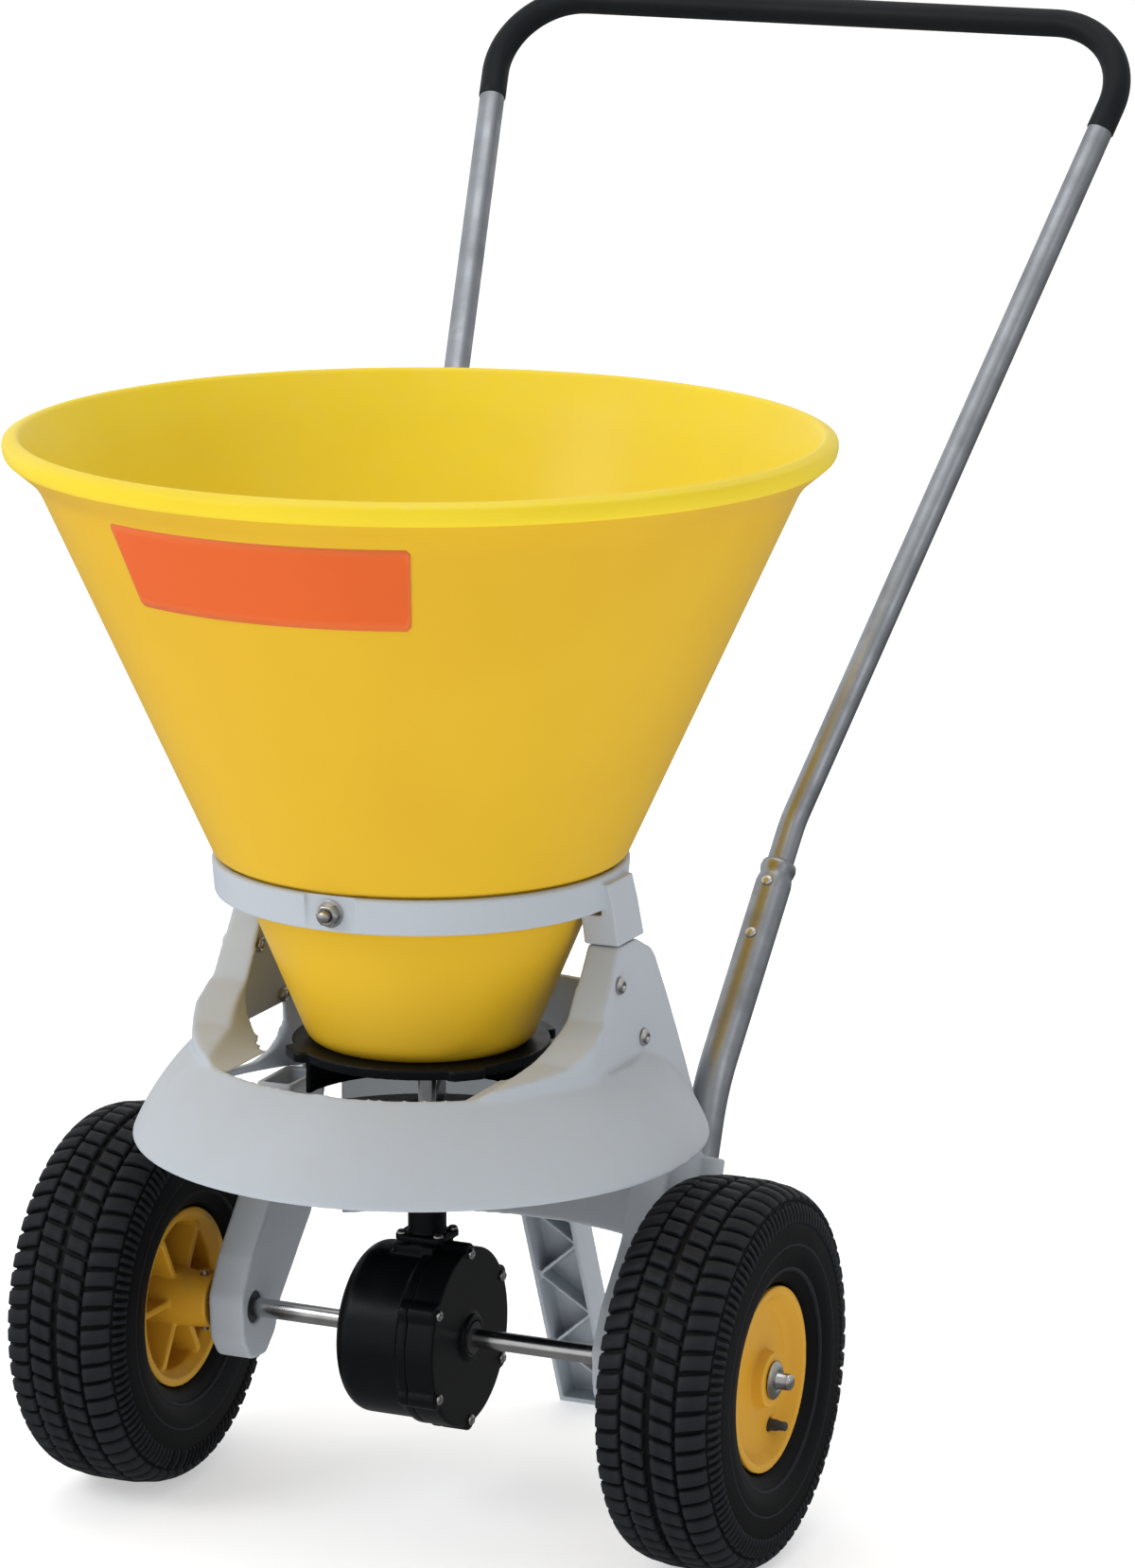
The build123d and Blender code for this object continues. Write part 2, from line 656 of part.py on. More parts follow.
with BuildPart() as shaft_bushes:
    for low, length in ((184, 12), (242, 12)):
        with BuildSketch(level(low)):
            Circle(shaft_bush_outer)
            Circle(shaft_radius + running_gap, mode=Mode.SUBTRACT)
        extrude(amount=length)
save(shaft_bushes, "shaft_bushes")

# Crown gear: face teeth round the axle, pinned to it
tooth_tip = 1.3
tooth_root = 1.9
crown_face_x = -pinion_pitch_radius - tooth_root
with BuildPart() as crown_gear:
    with BuildSketch(across(crown_face_x)):
        Circle(50)
        Circle(40, mode=Mode.SUBTRACT)
    extrude(amount=-7)
    with BuildSketch(across(crown_face_x - 2)):
        Circle(41)
    extrude(amount=-4)
    with BuildSketch(across(crown_face_x - 2)):
        Circle(14)
    extrude(amount=-18)
    with BuildSketch(across(crown_face_x - 0.2)):
        with PolarLocations(crown_pitch_radius, crown_teeth, start_angle=90 + 180 / crown_teeth):
            Rectangle(6.4, 3.1)
    extrude(amount=tooth_root + tooth_tip + 0.2, taper=13)
    with BuildSketch(across(crown_face_x - 30)):
        Circle(axle_radius)
    extrude(amount=60, mode=Mode.SUBTRACT)
    with BuildSketch(level(90)):
        with Locations((crown_pin_x, 0)):
            Circle(pin_radius)
    extrude(amount=80, mode=Mode.SUBTRACT)
save(crown_gear, "crown_gear")

with BuildPart() as crown_pin:
    with BuildSketch(level(wheel_radius - 14)):
        with Locations((crown_pin_x, 0)):
            Circle(pin_radius - running_gap)
    extrude(amount=28)
save(crown_pin, "crown_pin")

# Pinion on the upright shaft; one tooth points to the crown gear at rest
root_radius = pinion_pitch_radius - tooth_root
tip_radius = pinion_pitch_radius + tooth_tip
tooth_angle = 2 * pi / pinion_teeth
pinion_outline = []
for tooth in range(pinion_teeth):
    middle = pi + tooth * tooth_angle
    for share, radius in ((-0.27, root_radius), (-0.09, tip_radius), (0.09, tip_radius),
                          (0.27, root_radius)):
        angle = middle + share * tooth_angle
        pinion_outline.append((radius * cos(angle), radius * sin(angle)))
with BuildPart() as pinion:
    with BuildSketch(level(170.5)):
        Polygon(*pinion_outline, align=None)
    extrude(amount=9)
    with BuildSketch(level(170.5)):
        Circle(shaft_radius)
    extrude(amount=9, mode=Mode.SUBTRACT)
save(pinion, "pinion")

shaft_bottom = 142.0
shaft_top = 356.0
with BuildPart() as spinner_shaft:
    with BuildSketch(level(shaft_bottom)):
        Circle(shaft_radius)
    extrude(amount=shaft_top - shaft_bottom)
    chamfer(spinner_shaft.edges().group_by(Axis.Z)[-1], length=1)
save(spinner_shaft, "spinner_shaft")

# Spinner disc with four bent-up vanes and a hub
with BuildPart() as spinner_disc:
    with BuildSketch(level(disc_bottom)):
        Circle(disc_radius)
    extrude(amount=3.5)
    with BuildSketch(level(disc_bottom)):
        Circle(17)
    extrude(amount=30)
    with BuildSketch(level(disc_bottom + 2)):
        with PolarLocations(68, 4, start_angle=20):
            Rectangle(108, 3)
    extrude(amount=vane_top - disc_bottom - 2)
    with BuildSketch(level(disc_bottom - 1)):
        Circle(shaft_radius)
    extrude(amount=40, mode=Mode.SUBTRACT)
save(spinner_disc, "spinner_disc")

# Agitator: cross arms on the top of the shaft, in the hopper's outlet
with BuildPart() as agitator:
    with BuildSketch(level(346)):
        Circle(10)
        Rectangle(76, 7)
    extrude(amount=8)
    with BuildSketch(level(345)):
        Circle(shaft_radius)
    extrude(amount=10, mode=Mode.SUBTRACT)
save(agitator, "agitator")

# Outlet plate: closes the hopper's floor round three ports, with an apron behind that keeps the
# granules off the rear wall and has a slot for the lever
plate_bottom = 330.0
plate_radius = 86.0
apron_bottom = 288.0
collar_bottom = 318.0
collar_radius = 13.95
port_circle = 31.0
outlet_screw_circle = 64.0
outlet_screw_places = [(outlet_screw_circle * cos(radians(turn)),
                        outlet_screw_circle * sin(radians(turn)) + hopper_offset)
                       for turn in (45, 135, 225, 315)]
with BuildPart() as outlet_plate:
    with BuildSketch(level(plate_bottom, hopper_offset)):
        Circle(plate_radius)
        with PolarLocations(80, 4, start_angle=45):
            RectangleRounded(24, 26, 5)
    extrude(amount=hopper_base - plate_bottom)
    with BuildSketch(level(apron_bottom, hopper_offset)):
        Circle(plate_radius)
        Circle(plate_radius - 3.5, mode=Mode.SUBTRACT)
        with Locations((0, -cutter / 2)):
            Rectangle(cutter, cutter, mode=Mode.SUBTRACT)
    extrude(amount=plate_bottom - apron_bottom)
    with BuildSketch(level(plate_bottom - 10)):
        Polygon((-60, 40), (13, 40), (13, 120), (-60, 120), align=None)
    extrude(amount=10, mode=Mode.SUBTRACT)
    with BuildSketch(level(collar_bottom)):
        Circle(collar_radius)
    extrude(amount=16)
    with BuildSketch(level(plate_bottom - 1)):
        with PolarLocations(port_circle, 3, start_angle=90):
            Circle(port_radius)
    extrude(amount=20, mode=Mode.SUBTRACT)
    with BuildSketch(level(collar_bottom - 1)):
        Circle(shaft_bush_outer)
    extrude(amount=30, mode=Mode.SUBTRACT)
    with BuildSketch(level(plate_bottom - 1)):
        with Locations(*outlet_screw_places):
            Circle(2.1)
    extrude(amount=20, mode=Mode.SUBTRACT)
save(outlet_plate, "outlet_plate")

with BuildPart() as outlet_screws:
    with BuildSketch(level(plate_bottom)):
        with Locations(*outlet_screw_places):
            Circle(2.05)
    extrude(amount=hopper_base - plate_bottom)
    with BuildSketch(level(plate_bottom)):
        with Locations(*outlet_screw_places):
            Circle(3.6)
    extrude(amount=-2.2)
save(outlet_screws, "outlet_screws")

with BuildPart() as outlet_bush:
    with BuildSketch(level(collar_bottom)):
        Circle(shaft_bush_outer)
        Circle(shaft_radius + running_gap, mode=Mode.SUBTRACT)
    extrude(amount=16)
save(outlet_bush, "outlet_bush")

# Shutter: ported plate that turns round the collar, its lever running out over the rear wall
shutter_bottom = 325.8
shutter_thickness = 3.0
with BuildPart() as shutter_plate:
    with BuildSketch(level(shutter_bottom)):
        Circle(50)
        Circle(collar_radius + running_gap, mode=Mode.SUBTRACT)
        with PolarLocations(port_circle, 3, start_angle=90):
            Circle(port_radius, mode=Mode.SUBTRACT)
    extrude(amount=shutter_thickness)
save(shutter_plate, "shutter_plate")

lever_half_width = 9.0
with BuildPart() as dose_lever:
    with BuildSketch(side(-lever_half_width)):
        Polygon((44, 325.8), (44, 322.8), (121, 322.8), (152, 354), (214, 354), (214, 357),
                (150.8, 357), (119.8, 325.8), align=None)
    extrude(amount=2 * lever_half_width)
save(dose_lever, "dose_lever")

with BuildPart() as dose_knob:
    with BuildSketch(level(357, 204)):
        Circle(11)
    extrude(amount=20)
    fillet(dose_knob.edges().group_by(Axis.Z)[-1], radius=6)
save(dose_knob, "dose_knob")

with BuildPart() as collar_ring:
    with BuildSketch(level(319.4)):
        Circle(18)
        Circle(collar_radius, mode=Mode.SUBTRACT)
    extrude(amount=2.6)
save(collar_ring, "collar_ring")

rivet_places = [(237.0, 398.9), (209.0, 368.6)]
rivet_lean = (0, -0.735, 0.678)

# Handle: lower tubes from the legs' sockets, a bent upper tube inside them and a soft grip
for hand, sleeve_name in ((-1, "sleeve_left"), (1, "sleeve_right")):
    with BuildPart() as sleeve:
        with BuildLine(side(hand * sleeve_x)) as sleeve_path:
            FilletPolyline((sleeve_foot[0] + 1.2, sleeve_foot[1] + 3.2), sleeve_bend, sleeve_end,
                           radius=[120])
        with BuildSketch(Plane(origin=sleeve_path.line @ 0, z_dir=sleeve_path.line % 0)):
            Circle(sleeve_radius)
            Circle(tube_radius + 0.5, mode=Mode.SUBTRACT)
        sweep(path=sleeve_path.line)
        with BuildSketch(side(hand * 100)):
            with Locations(socket_bolt_place):
                Circle(lug_bolt_radius + running_gap)
        extrude(amount=hand * 80, mode=Mode.SUBTRACT)
        for y, z in rivet_places:
            with BuildSketch(Plane(origin=(hand * sleeve_x, axle_y + y, z), z_dir=rivet_lean)):
                Circle(2.45)
            extrude(amount=30, mode=Mode.SUBTRACT)
    save(sleeve, sleeve_name)

tube_foot = (190.0, 348.0)
tube_bend = (274.0, 439.0)
corner_x = 254.6
bar_corner_radius = 58.0
grip_share = 0.864


def arm_point(share):
    """Point of the right arm's upper run, from its bend to the bar's corner."""
    return (sleeve_x + share * (corner_x - sleeve_x),
            axle_y + tube_bend[0] + share * (bar_back - tube_bend[0]),
            tube_bend[1] + share * (bar_height - tube_bend[1]))


def mirrored(point):
    """The same point on the left arm."""
    return (-point[0], point[1], point[2])


tube_start = (sleeve_x, axle_y + tube_foot[0], tube_foot[1])
with BuildPart() as handle_tube:
    with BuildLine() as tube_path:
        FilletPolyline(tube_start, arm_point(0), arm_point(1), mirrored(arm_point(1)),
                       mirrored(arm_point(0)), mirrored(tube_start),
                       radius=[100, bar_corner_radius, bar_corner_radius, 100])
    with BuildSketch(Plane(origin=tube_path.line @ 0, z_dir=tube_path.line % 0)):
        Circle(tube_radius)
        Circle(tube_radius - 1.8, mode=Mode.SUBTRACT)
    sweep(path=tube_path.line)
save(handle_tube, "handle_tube")

with BuildPart() as handle_grip:
    with BuildLine() as grip_path:
        FilletPolyline(arm_point(grip_share), arm_point(1), mirrored(arm_point(1)),
                       mirrored(arm_point(grip_share)), radius=[bar_corner_radius] * 2)
    with BuildSketch(Plane(origin=grip_path.line @ 0, z_dir=grip_path.line % 0)):
        Circle(grip_radius)
        Circle(tube_radius + 0.05, mode=Mode.SUBTRACT)
    sweep(path=grip_path.line)
save(handle_grip, "handle_grip")

# Rivets that lock the arms in the lower tubes
with BuildPart() as sleeve_rivets:
    for hand in (-1, 1):
        for y, z in rivet_places:
            rivet_plane = Plane(origin=(hand * sleeve_x, axle_y + y, z), z_dir=rivet_lean)
            with BuildSketch(rivet_plane.offset(tube_radius + 0.1)):
                Circle(2.4)
            extrude(amount=sleeve_radius - tube_radius + 0.4)
            with BuildSketch(rivet_plane.offset(sleeve_radius)):
                Circle(4.2)
            extrude(amount=2, taper=30)
save(sleeve_rivets, "sleeve_rivets")
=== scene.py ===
import json
from math import cos, pi, radians, sin, sqrt

import bmesh
import bpy
from mathutils import Matrix, Vector


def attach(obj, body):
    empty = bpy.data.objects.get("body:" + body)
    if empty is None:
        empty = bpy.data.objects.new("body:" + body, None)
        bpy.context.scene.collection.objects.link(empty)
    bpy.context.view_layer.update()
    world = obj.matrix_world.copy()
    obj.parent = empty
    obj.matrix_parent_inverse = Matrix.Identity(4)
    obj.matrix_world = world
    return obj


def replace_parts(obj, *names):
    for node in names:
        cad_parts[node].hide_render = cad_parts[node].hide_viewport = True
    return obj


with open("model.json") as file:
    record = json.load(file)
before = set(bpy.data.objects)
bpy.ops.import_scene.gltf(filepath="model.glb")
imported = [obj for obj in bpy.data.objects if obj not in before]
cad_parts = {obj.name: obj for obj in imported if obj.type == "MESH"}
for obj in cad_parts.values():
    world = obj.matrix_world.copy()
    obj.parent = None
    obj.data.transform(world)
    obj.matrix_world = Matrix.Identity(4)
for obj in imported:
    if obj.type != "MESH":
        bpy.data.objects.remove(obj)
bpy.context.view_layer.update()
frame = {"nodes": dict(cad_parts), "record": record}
mm = 0.001


# ---- Ground and studio ------------------------------------------------------------------------
# A pale floor under a white sky that is brighter on the left, with large soft boxes left, right and
# overhead. Shiny parts mirror a dim room instead of the floor. None of it is part of the spreader.
def put(tree, kind, sockets=None, **settings):
    """Add a shader node, with its settings and its inputs set or linked."""
    node = tree.nodes.new("ShaderNode" + kind)
    for key, value in settings.items():
        setattr(node, key, value)
    for key, value in (sockets or {}).items():
        if isinstance(value, bpy.types.NodeSocket):
            tree.links.new(value, node.inputs[key])
        else:
            node.inputs[key].default_value = value
    return node


def new_material(name, **constants):
    """A material with its Principled shader's plain values set."""
    material = bpy.data.materials.new(name)
    material.use_nodes = True
    shader = material.node_tree.nodes["Principled BSDF"]
    for key, value in constants.items():
        shader.inputs[key.replace("_", " ")].default_value = value
    return material, material.node_tree, shader


def mesh_object(name, mesh_builder, *materials, smooth=True):
    """Turn a bmesh into a linked object."""
    bmesh.ops.recalc_face_normals(mesh_builder, faces=mesh_builder.faces)
    mesh = bpy.data.meshes.new(name)
    mesh_builder.to_mesh(mesh)
    mesh_builder.free()
    mesh.polygons.foreach_set("use_smooth", [smooth] * len(mesh.polygons))
    piece = bpy.data.objects.new(name, mesh)
    bpy.context.scene.collection.objects.link(piece)
    for material in materials:
        mesh.materials.append(material)
    return piece


floor_half = 30.0
floor_paint, floor_tree, floor_shader = new_material("floor_paint", Roughness=0.6, Specular_IOR_Level=0.2)
floor_noise = put(floor_tree, "TexNoise", {"Scale": 2.0, "Detail": 2.0})
floor_tint = put(floor_tree, "ValToRGB", {"Fac": floor_noise.outputs["Fac"]})
floor_tint.color_ramp.elements[0].color = (0.90, 0.90, 0.90, 1)
floor_tint.color_ramp.elements[1].color = (0.93, 0.93, 0.93, 1)
floor_tree.links.new(floor_tint.outputs["Color"], floor_shader.inputs["Base Color"])
floor_tree.links.new(floor_tint.outputs["Color"], floor_shader.inputs["Emission Color"])
floor_shader.inputs["Emission Strength"].default_value = 0.48
floor_mesh = bmesh.new()
bmesh.ops.create_grid(floor_mesh, x_segments=4, y_segments=4, size=floor_half)
floor = mesh_object("floor", floor_mesh, floor_paint)
floor.visible_glossy = False

world = bpy.data.worlds.new("studio")
world.use_nodes = True
sky_place = put(world.node_tree, "TexCoord")
sky_parts = put(world.node_tree, "SeparateXYZ", {"Vector": sky_place.outputs["Generated"]})
sky_light = put(world.node_tree, "MapRange", {"Value": sky_parts.outputs["X"], "From Min": -1.0,
                                              "From Max": 1.0, "To Min": 0.92, "To Max": 0.48})
room_light = put(world.node_tree, "MapRange", {"Value": sky_parts.outputs["Z"], "From Min": -0.30,
                                               "From Max": 0.0, "To Min": 0.26, "To Max": 1.0})
studio_light = put(world.node_tree, "Math", {0: sky_light.outputs["Result"], 1: room_light.outputs["Result"]},
                   operation="MULTIPLY")
sky = world.node_tree.nodes["Background"]
world.node_tree.links.new(studio_light.outputs["Value"], sky.inputs["Strength"])
sky.inputs["Color"].default_value = (1.0, 1.0, 1.0, 1)
bpy.context.scene.world = world
bpy.context.scene.view_settings.view_transform = "Standard"

soft_boxes = [  # name, place, aim, width, height, watts
    ("key", (-1.9, -2.6, 2.6), (0, -0.1, 0.4), 1.6, 1.6, 36),
    ("side", (2.9, -0.8, 1.9), (0, 0, 0.4), 1.2, 2.0, 6),
    ("top", (0.0, 0.2, 3.2), (0, 0, 0.4), 2.4, 2.4, 20),
]
for box_name, place, aim, box_width, box_height, watts in soft_boxes:
    light = bpy.data.lights.new(box_name, "AREA")
    light.shape = "RECTANGLE"
    light.size, light.size_y, light.energy = box_width, box_height, watts
    lamp = bpy.data.objects.new(box_name, light)
    lamp.location = place
    lamp.rotation_euler = (Vector(place) - Vector(aim)).to_track_quat("Z", "Y").to_euler()
    bpy.context.scene.collection.objects.link(lamp)

camera_turn, camera_rise, camera_roll = radians(24.15), radians(12.71), radians(0.24)
away = Vector((sin(camera_turn) * cos(camera_rise), -cos(camera_turn) * cos(camera_rise), sin(camera_rise)))
level_right = Vector((cos(camera_turn), sin(camera_turn), 0))
level_up = away.cross(level_right)
camera_right = level_right * cos(camera_roll) + level_up * sin(camera_roll)
camera_up = level_up * cos(camera_roll) - level_right * sin(camera_roll)
lens = bpy.data.cameras.new("camera")
lens.lens, lens.sensor_width = 146.0, 36.0
camera = bpy.data.objects.new("camera", lens)
camera.matrix_world = Matrix.Translation((1.7578, -3.8954, 1.4298)) @ Matrix(
    (camera_right, camera_up, away)).transposed().to_4x4()
bpy.context.scene.collection.objects.link(camera)
bpy.context.scene.camera = camera


# ---- Frame shell, axle legs and rear leg ------------------------------------------------------
# Injection-moulded blue-grey plastic with rounded corners and a fine spark-eroded texture. The shell
# is one moulding; the legs are clipped and bolted under it. Dust sits on what faces up.
def new_group(name, inputs, outputs):
    """A shader node group with its sockets, and its two end nodes."""
    group = bpy.data.node_groups.new(name, "ShaderNodeTree")
    for label, default in inputs:
        socket = group.interface.new_socket(name=label, in_out="INPUT", socket_type="NodeSocketFloat")
        socket.default_value = default
    for label in outputs:
        group.interface.new_socket(name=label, in_out="OUTPUT", socket_type="NodeSocketFloat")
    return group, group.nodes.new("NodeGroupInput"), group.nodes.new("NodeGroupOutput")


grain_group, grain_in, grain_out = new_group(
    "moulded_grain", [("Grain Size", 900.0), ("Cloud Size", 6.0)], ["Height", "Cloud"])
where = put(grain_group, "NewGeometry")
grain_noise = put(grain_group, "TexNoise", {"Vector": where.outputs["Position"], "Detail": 2.0,
                                            "Scale": grain_in.outputs["Grain Size"]})
cloud_noise = put(grain_group, "TexNoise", {"Vector": where.outputs["Position"], "Detail": 4.0,
                                            "Scale": grain_in.outputs["Cloud Size"]})
cloud_range = put(grain_group, "MapRange", {"Value": cloud_noise.outputs["Fac"], "From Min": 0.35,
                                            "From Max": 0.68})
grain_group.links.new(grain_noise.outputs["Fac"], grain_out.inputs["Height"])
grain_group.links.new(cloud_range.outputs["Result"], grain_out.inputs["Cloud"])

dust_group, dust_in, dust_out = new_group("settled_dust", [("Reach", 0.5), ("Speckle Size", 60.0)], ["Mask"])
facing = put(dust_group, "NewGeometry")
facing_parts = put(dust_group, "SeparateXYZ", {"Vector": facing.outputs["Normal"]})
upward = put(dust_group, "MapRange", {"Value": facing_parts.outputs["Z"], "From Min": 0.15,
                                      "From Max": 0.95})
speckle = put(dust_group, "TexNoise", {"Vector": facing.outputs["Position"], "Detail": 6.0,
                                       "Scale": dust_in.outputs["Speckle Size"]})
speckle_range = put(dust_group, "MapRange", {"Value": speckle.outputs["Fac"], "From Min": 0.4,
                                             "From Max": 0.7})
reached = put(dust_group, "Math", {0: upward.outputs["Result"], 1: dust_in.outputs["Reach"]},
              operation="MULTIPLY")
dust_mask = put(dust_group, "Math", {0: reached.outputs[0], 1: speckle_range.outputs["Result"]},
                operation="MULTIPLY")
dust_group.links.new(dust_mask.outputs[0], dust_out.inputs["Mask"])

# Convex edges show lighter: rubbing on most parts, and a painted highlight where the edge colour is pale, as
# on the hopper's lip.
edge_group, edge_in, edge_out = new_group("edge_rub_and_highlight", [("Start", 0.52), ("End", 0.58)], ["Mask"])
edge_shape = put(edge_group, "NewGeometry")
edge_range = put(edge_group, "MapRange", {"Value": edge_shape.outputs["Pointiness"],
                                          "From Min": edge_in.outputs["Start"],
                                          "From Max": edge_in.outputs["End"]})
edge_group.links.new(edge_range.outputs["Result"], edge_out.inputs["Mask"])


def use_group(tree, group, **sockets):
    """Place a node group in a material."""
    node = put(tree, "Group", node_tree=group)
    for key, value in sockets.items():
        node.inputs[key.replace("_", " ")].default_value = value
    return node


def blend_colour(tree, mask, low, high, share=None):
    """Mix two colours by a mask, scaled by share."""
    if share is not None:
        mask = put(tree, "Math", {0: mask, 1: share}, operation="MULTIPLY").outputs[0]
    return put(tree, "Mix", {0: mask, 6: low, 7: high}, data_type="RGBA").outputs[2]


def plastic(name, colour, cloud, edge, dust, dust_reach, rough, rough_spread, grain_size, grain_depth,
            **constants):
    """Moulded plastic or rubber: colour drift, lighter convex edges (rubbing, and on the hopper a painted
    highlight), settled dust and fine surface grain.
    """
    material, tree, shader = new_material(name, **constants)
    grain = use_group(tree, grain_group, Grain_Size=grain_size)
    tint = blend_colour(tree, grain.outputs["Cloud"], (*colour, 1), (*cloud, 1))
    rub_and_highlight = use_group(tree, edge_group)
    tint = blend_colour(tree, rub_and_highlight.outputs["Mask"], tint, (*edge, 1), 0.6)
    settled = use_group(tree, dust_group, Reach=dust_reach)
    tint = blend_colour(tree, settled.outputs["Mask"], tint, (*dust, 1))
    tree.links.new(tint, shader.inputs["Base Color"])
    gloss = put(tree, "MapRange", {"Value": grain.outputs["Cloud"], "To Min": rough,
                                   "To Max": rough + rough_spread})
    gloss = put(tree, "Math", {0: gloss.outputs["Result"], 1: settled.outputs["Mask"]}, operation="ADD",
                use_clamp=True)
    tree.links.new(gloss.outputs[0], shader.inputs["Roughness"])
    bump = put(tree, "Bump", {"Height": grain.outputs["Height"], "Strength": grain_depth,
                              "Distance": 0.4 * mm})
    tree.links.new(bump.outputs["Normal"], shader.inputs["Normal"])
    return material


bodies = frame["record"]["behaviour"]["bodies"]
body_of_node = {node: body for body, nodes in bodies.items() for node in nodes}
slot_of_node = {part["node"]: part["material_slot"] for part in frame["record"]["subparts"]}


def stands_for(piece, *nodes):
    """The piece moves with the first node's body and replaces all the nodes."""
    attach(piece, body_of_node[nodes[0]])
    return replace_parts(piece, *nodes)


def moulded_copy(node, voxel, rounds, material):
    """A fine copy of a CAD part whose corners are softened as a mould leaves them."""
    piece = bpy.data.objects.new(node + "_moulding", frame["nodes"][node].data.copy())
    bpy.context.scene.collection.objects.link(piece)
    piece.data.materials.clear()
    piece.data.materials.append(material)
    skin = piece.modifiers.new("skin", "REMESH")
    skin.mode, skin.voxel_size, skin.use_smooth_shade = "VOXEL", voxel, True
    softening = piece.modifiers.new("softening", "SMOOTH")
    softening.factor, softening.iterations = 0.5, rounds
    return stands_for(piece, node)


dust_colour = (0.52, 0.47, 0.38)
frame_grey = plastic("frame_grey", (0.46, 0.505, 0.555), (0.43, 0.47, 0.52), (0.50, 0.53, 0.57), dust_colour,
                     0.2, 0.46, 0.10, 1100.0, 0.25, Specular_IOR_Level=0.3)
moulded_copy("frame_shell", 1.7 * mm, 10, frame_grey)
for leg in ("axle_leg_left", "axle_leg_right"):
    moulded_copy(leg, 1.3 * mm, 6, frame_grey)
moulded_copy("rear_leg", 1.0 * mm, 4, frame_grey)


# ---- Clamp ring and its screw -----------------------------------------------------------------
# Grey moulded band that grips the hopper's groove, drawn tight by a zinc-plated M8 screw, washer and
# hex nut on the flat at the front.
def smooth_corners(points, radius, steps=5):
    """A closed outline with each corner rounded, as far as its edges allow."""
    rounded = []
    for before, corner, after in zip(points[-1:] + points[:-1], points, points[1:] + points[:1]):
        before, corner, after = Vector(before), Vector(corner), Vector(after)
        size = min(radius, (before - corner).length * 0.45, (after - corner).length * 0.45)
        start = corner + (before - corner).normalized() * size
        end = corner + (after - corner).normalized() * size
        for step in range(steps + 1):
            share = step / steps
            rounded.append(start * (1 - share) ** 2 + corner * 2 * share * (1 - share) + end * share ** 2)
    return rounded


def hexagon(angle):
    """Radius factor that makes a turned outline six-sided."""
    return cos(pi / 6) / cos(angle % (pi / 3) - pi / 6)


def cross(angle):
    """Radius factor of a cross recess."""
    return 0.38 + 0.62 * abs(cos(2 * angle)) ** 8


def in_mm(outline):
    """Metres for an outline of (radius, height) points given in millimetres."""
    return [(radius * mm, height * mm) for radius, height in outline]


def turned(builder, outline, place, axis, segments=48, shape=None, shaped=(), slot_from=None):
    """Turn an outline of (radius, height) points round an axis; shaped points follow shape(angle)."""
    spin = Vector(axis).to_track_quat("Z", "Y").to_matrix()
    rings = []
    for index, (radius, height) in enumerate(outline):
        if radius < 1e-6:
            rings.append([builder.verts.new(Vector(place) + spin @ Vector((0, 0, height)))])
            continue
        ring = []
        for turn in range(segments):
            angle = 2 * pi * turn / segments
            reach = radius * (shape(angle) if index in shaped else 1)
            point = spin @ Vector((reach * cos(angle), reach * sin(angle), height))
            ring.append(builder.verts.new(Vector(place) + point))
        rings.append(ring)
    closed = len(rings[0]) > 1
    for index in range(len(rings) if closed else len(rings) - 1):
        low, high = rings[index], rings[(index + 1) % len(rings)]
        for turn in range(segments):
            corners = [low[turn % len(low)], low[(turn + 1) % segments % len(low)],
                       high[(turn + 1) % segments % len(high)], high[turn % len(high)]]
            face = builder.faces.new(list(dict.fromkeys(corners)))
            face.material_index = 1 if slot_from is not None and index >= slot_from else 0


def steel(name, colour, dark, rough, rough_spread, streak, spangle=0.0, **constants):
    """Bare or plated steel: tone drift, light scratches and, on galvanised tube, spangle."""
    material, tree, shader = new_material(name, Metallic=1.0, **constants)
    grain = use_group(tree, grain_group, Grain_Size=streak, Cloud_Size=40.0)
    settled = use_group(tree, dust_group, Reach=0.25)
    tint = blend_colour(tree, grain.outputs["Cloud"], (*colour, 1), (*dark, 1))
    if spangle:
        place = put(tree, "NewGeometry")
        cells = put(tree, "TexVoronoi", {"Vector": place.outputs["Position"], "Scale": 160.0})
        tone = put(tree, "SeparateColor", {"Color": cells.outputs["Color"]})
        tint = blend_colour(tree, tone.outputs["Red"], tint, (*dark, 1), spangle)
    tint = blend_colour(tree, settled.outputs["Mask"], tint, (*dust_colour, 1), 0.5)
    tree.links.new(tint, shader.inputs["Base Color"])
    gloss = put(tree, "MapRange", {"Value": grain.outputs["Cloud"], "To Min": rough,
                                   "To Max": rough + rough_spread})
    tree.links.new(gloss.outputs["Result"], shader.inputs["Roughness"])
    bump = put(tree, "Bump", {"Height": grain.outputs["Height"], "Strength": 0.08, "Distance": 0.2 * mm})
    tree.links.new(bump.outputs["Normal"], shader.inputs["Normal"])
    return material


moulded_copy("hopper_ring", 1.0 * mm, 4, frame_grey)
zinc_steel = steel("zinc_steel", (0.62, 0.63, 0.64), (0.48, 0.47, 0.44), 0.24, 0.16, 1400.0)
axle_y = -201.5 * mm
hopper_y = axle_y - 9 * mm
forward = (0, -1, 0)
nut_face = Vector((0, hopper_y - 134.6 * mm, 451 * mm))
nut_mesh = bmesh.new()
turned(nut_mesh, smooth_corners([(4.1 * mm, 0), (9 * mm, 0), (9 * mm, 1.6 * mm), (4.1 * mm, 1.6 * mm)],
                                0.4 * mm, 3), nut_face, forward)
nut_outline = [(4.05, 1.7), (6.4, 1.7), (7.3, 2.3), (7.3, 7.2), (6.4, 7.9), (4.8, 7.9), (4.05, 7.2)]
turned(nut_mesh, in_mm(nut_outline), nut_face, forward, 60, hexagon, (2, 3))
stands_for(mesh_object("ring_nut_plated", nut_mesh, zinc_steel), "ring_nut")
bolt_mesh = bmesh.new()
thread = [(0, 12.8), (2.9, 12.8), (3.5, 12.2)]
thread += [((3.95 if turn % 2 else 3.5), 11.8 - turn * 0.55) for turn in range(24)]
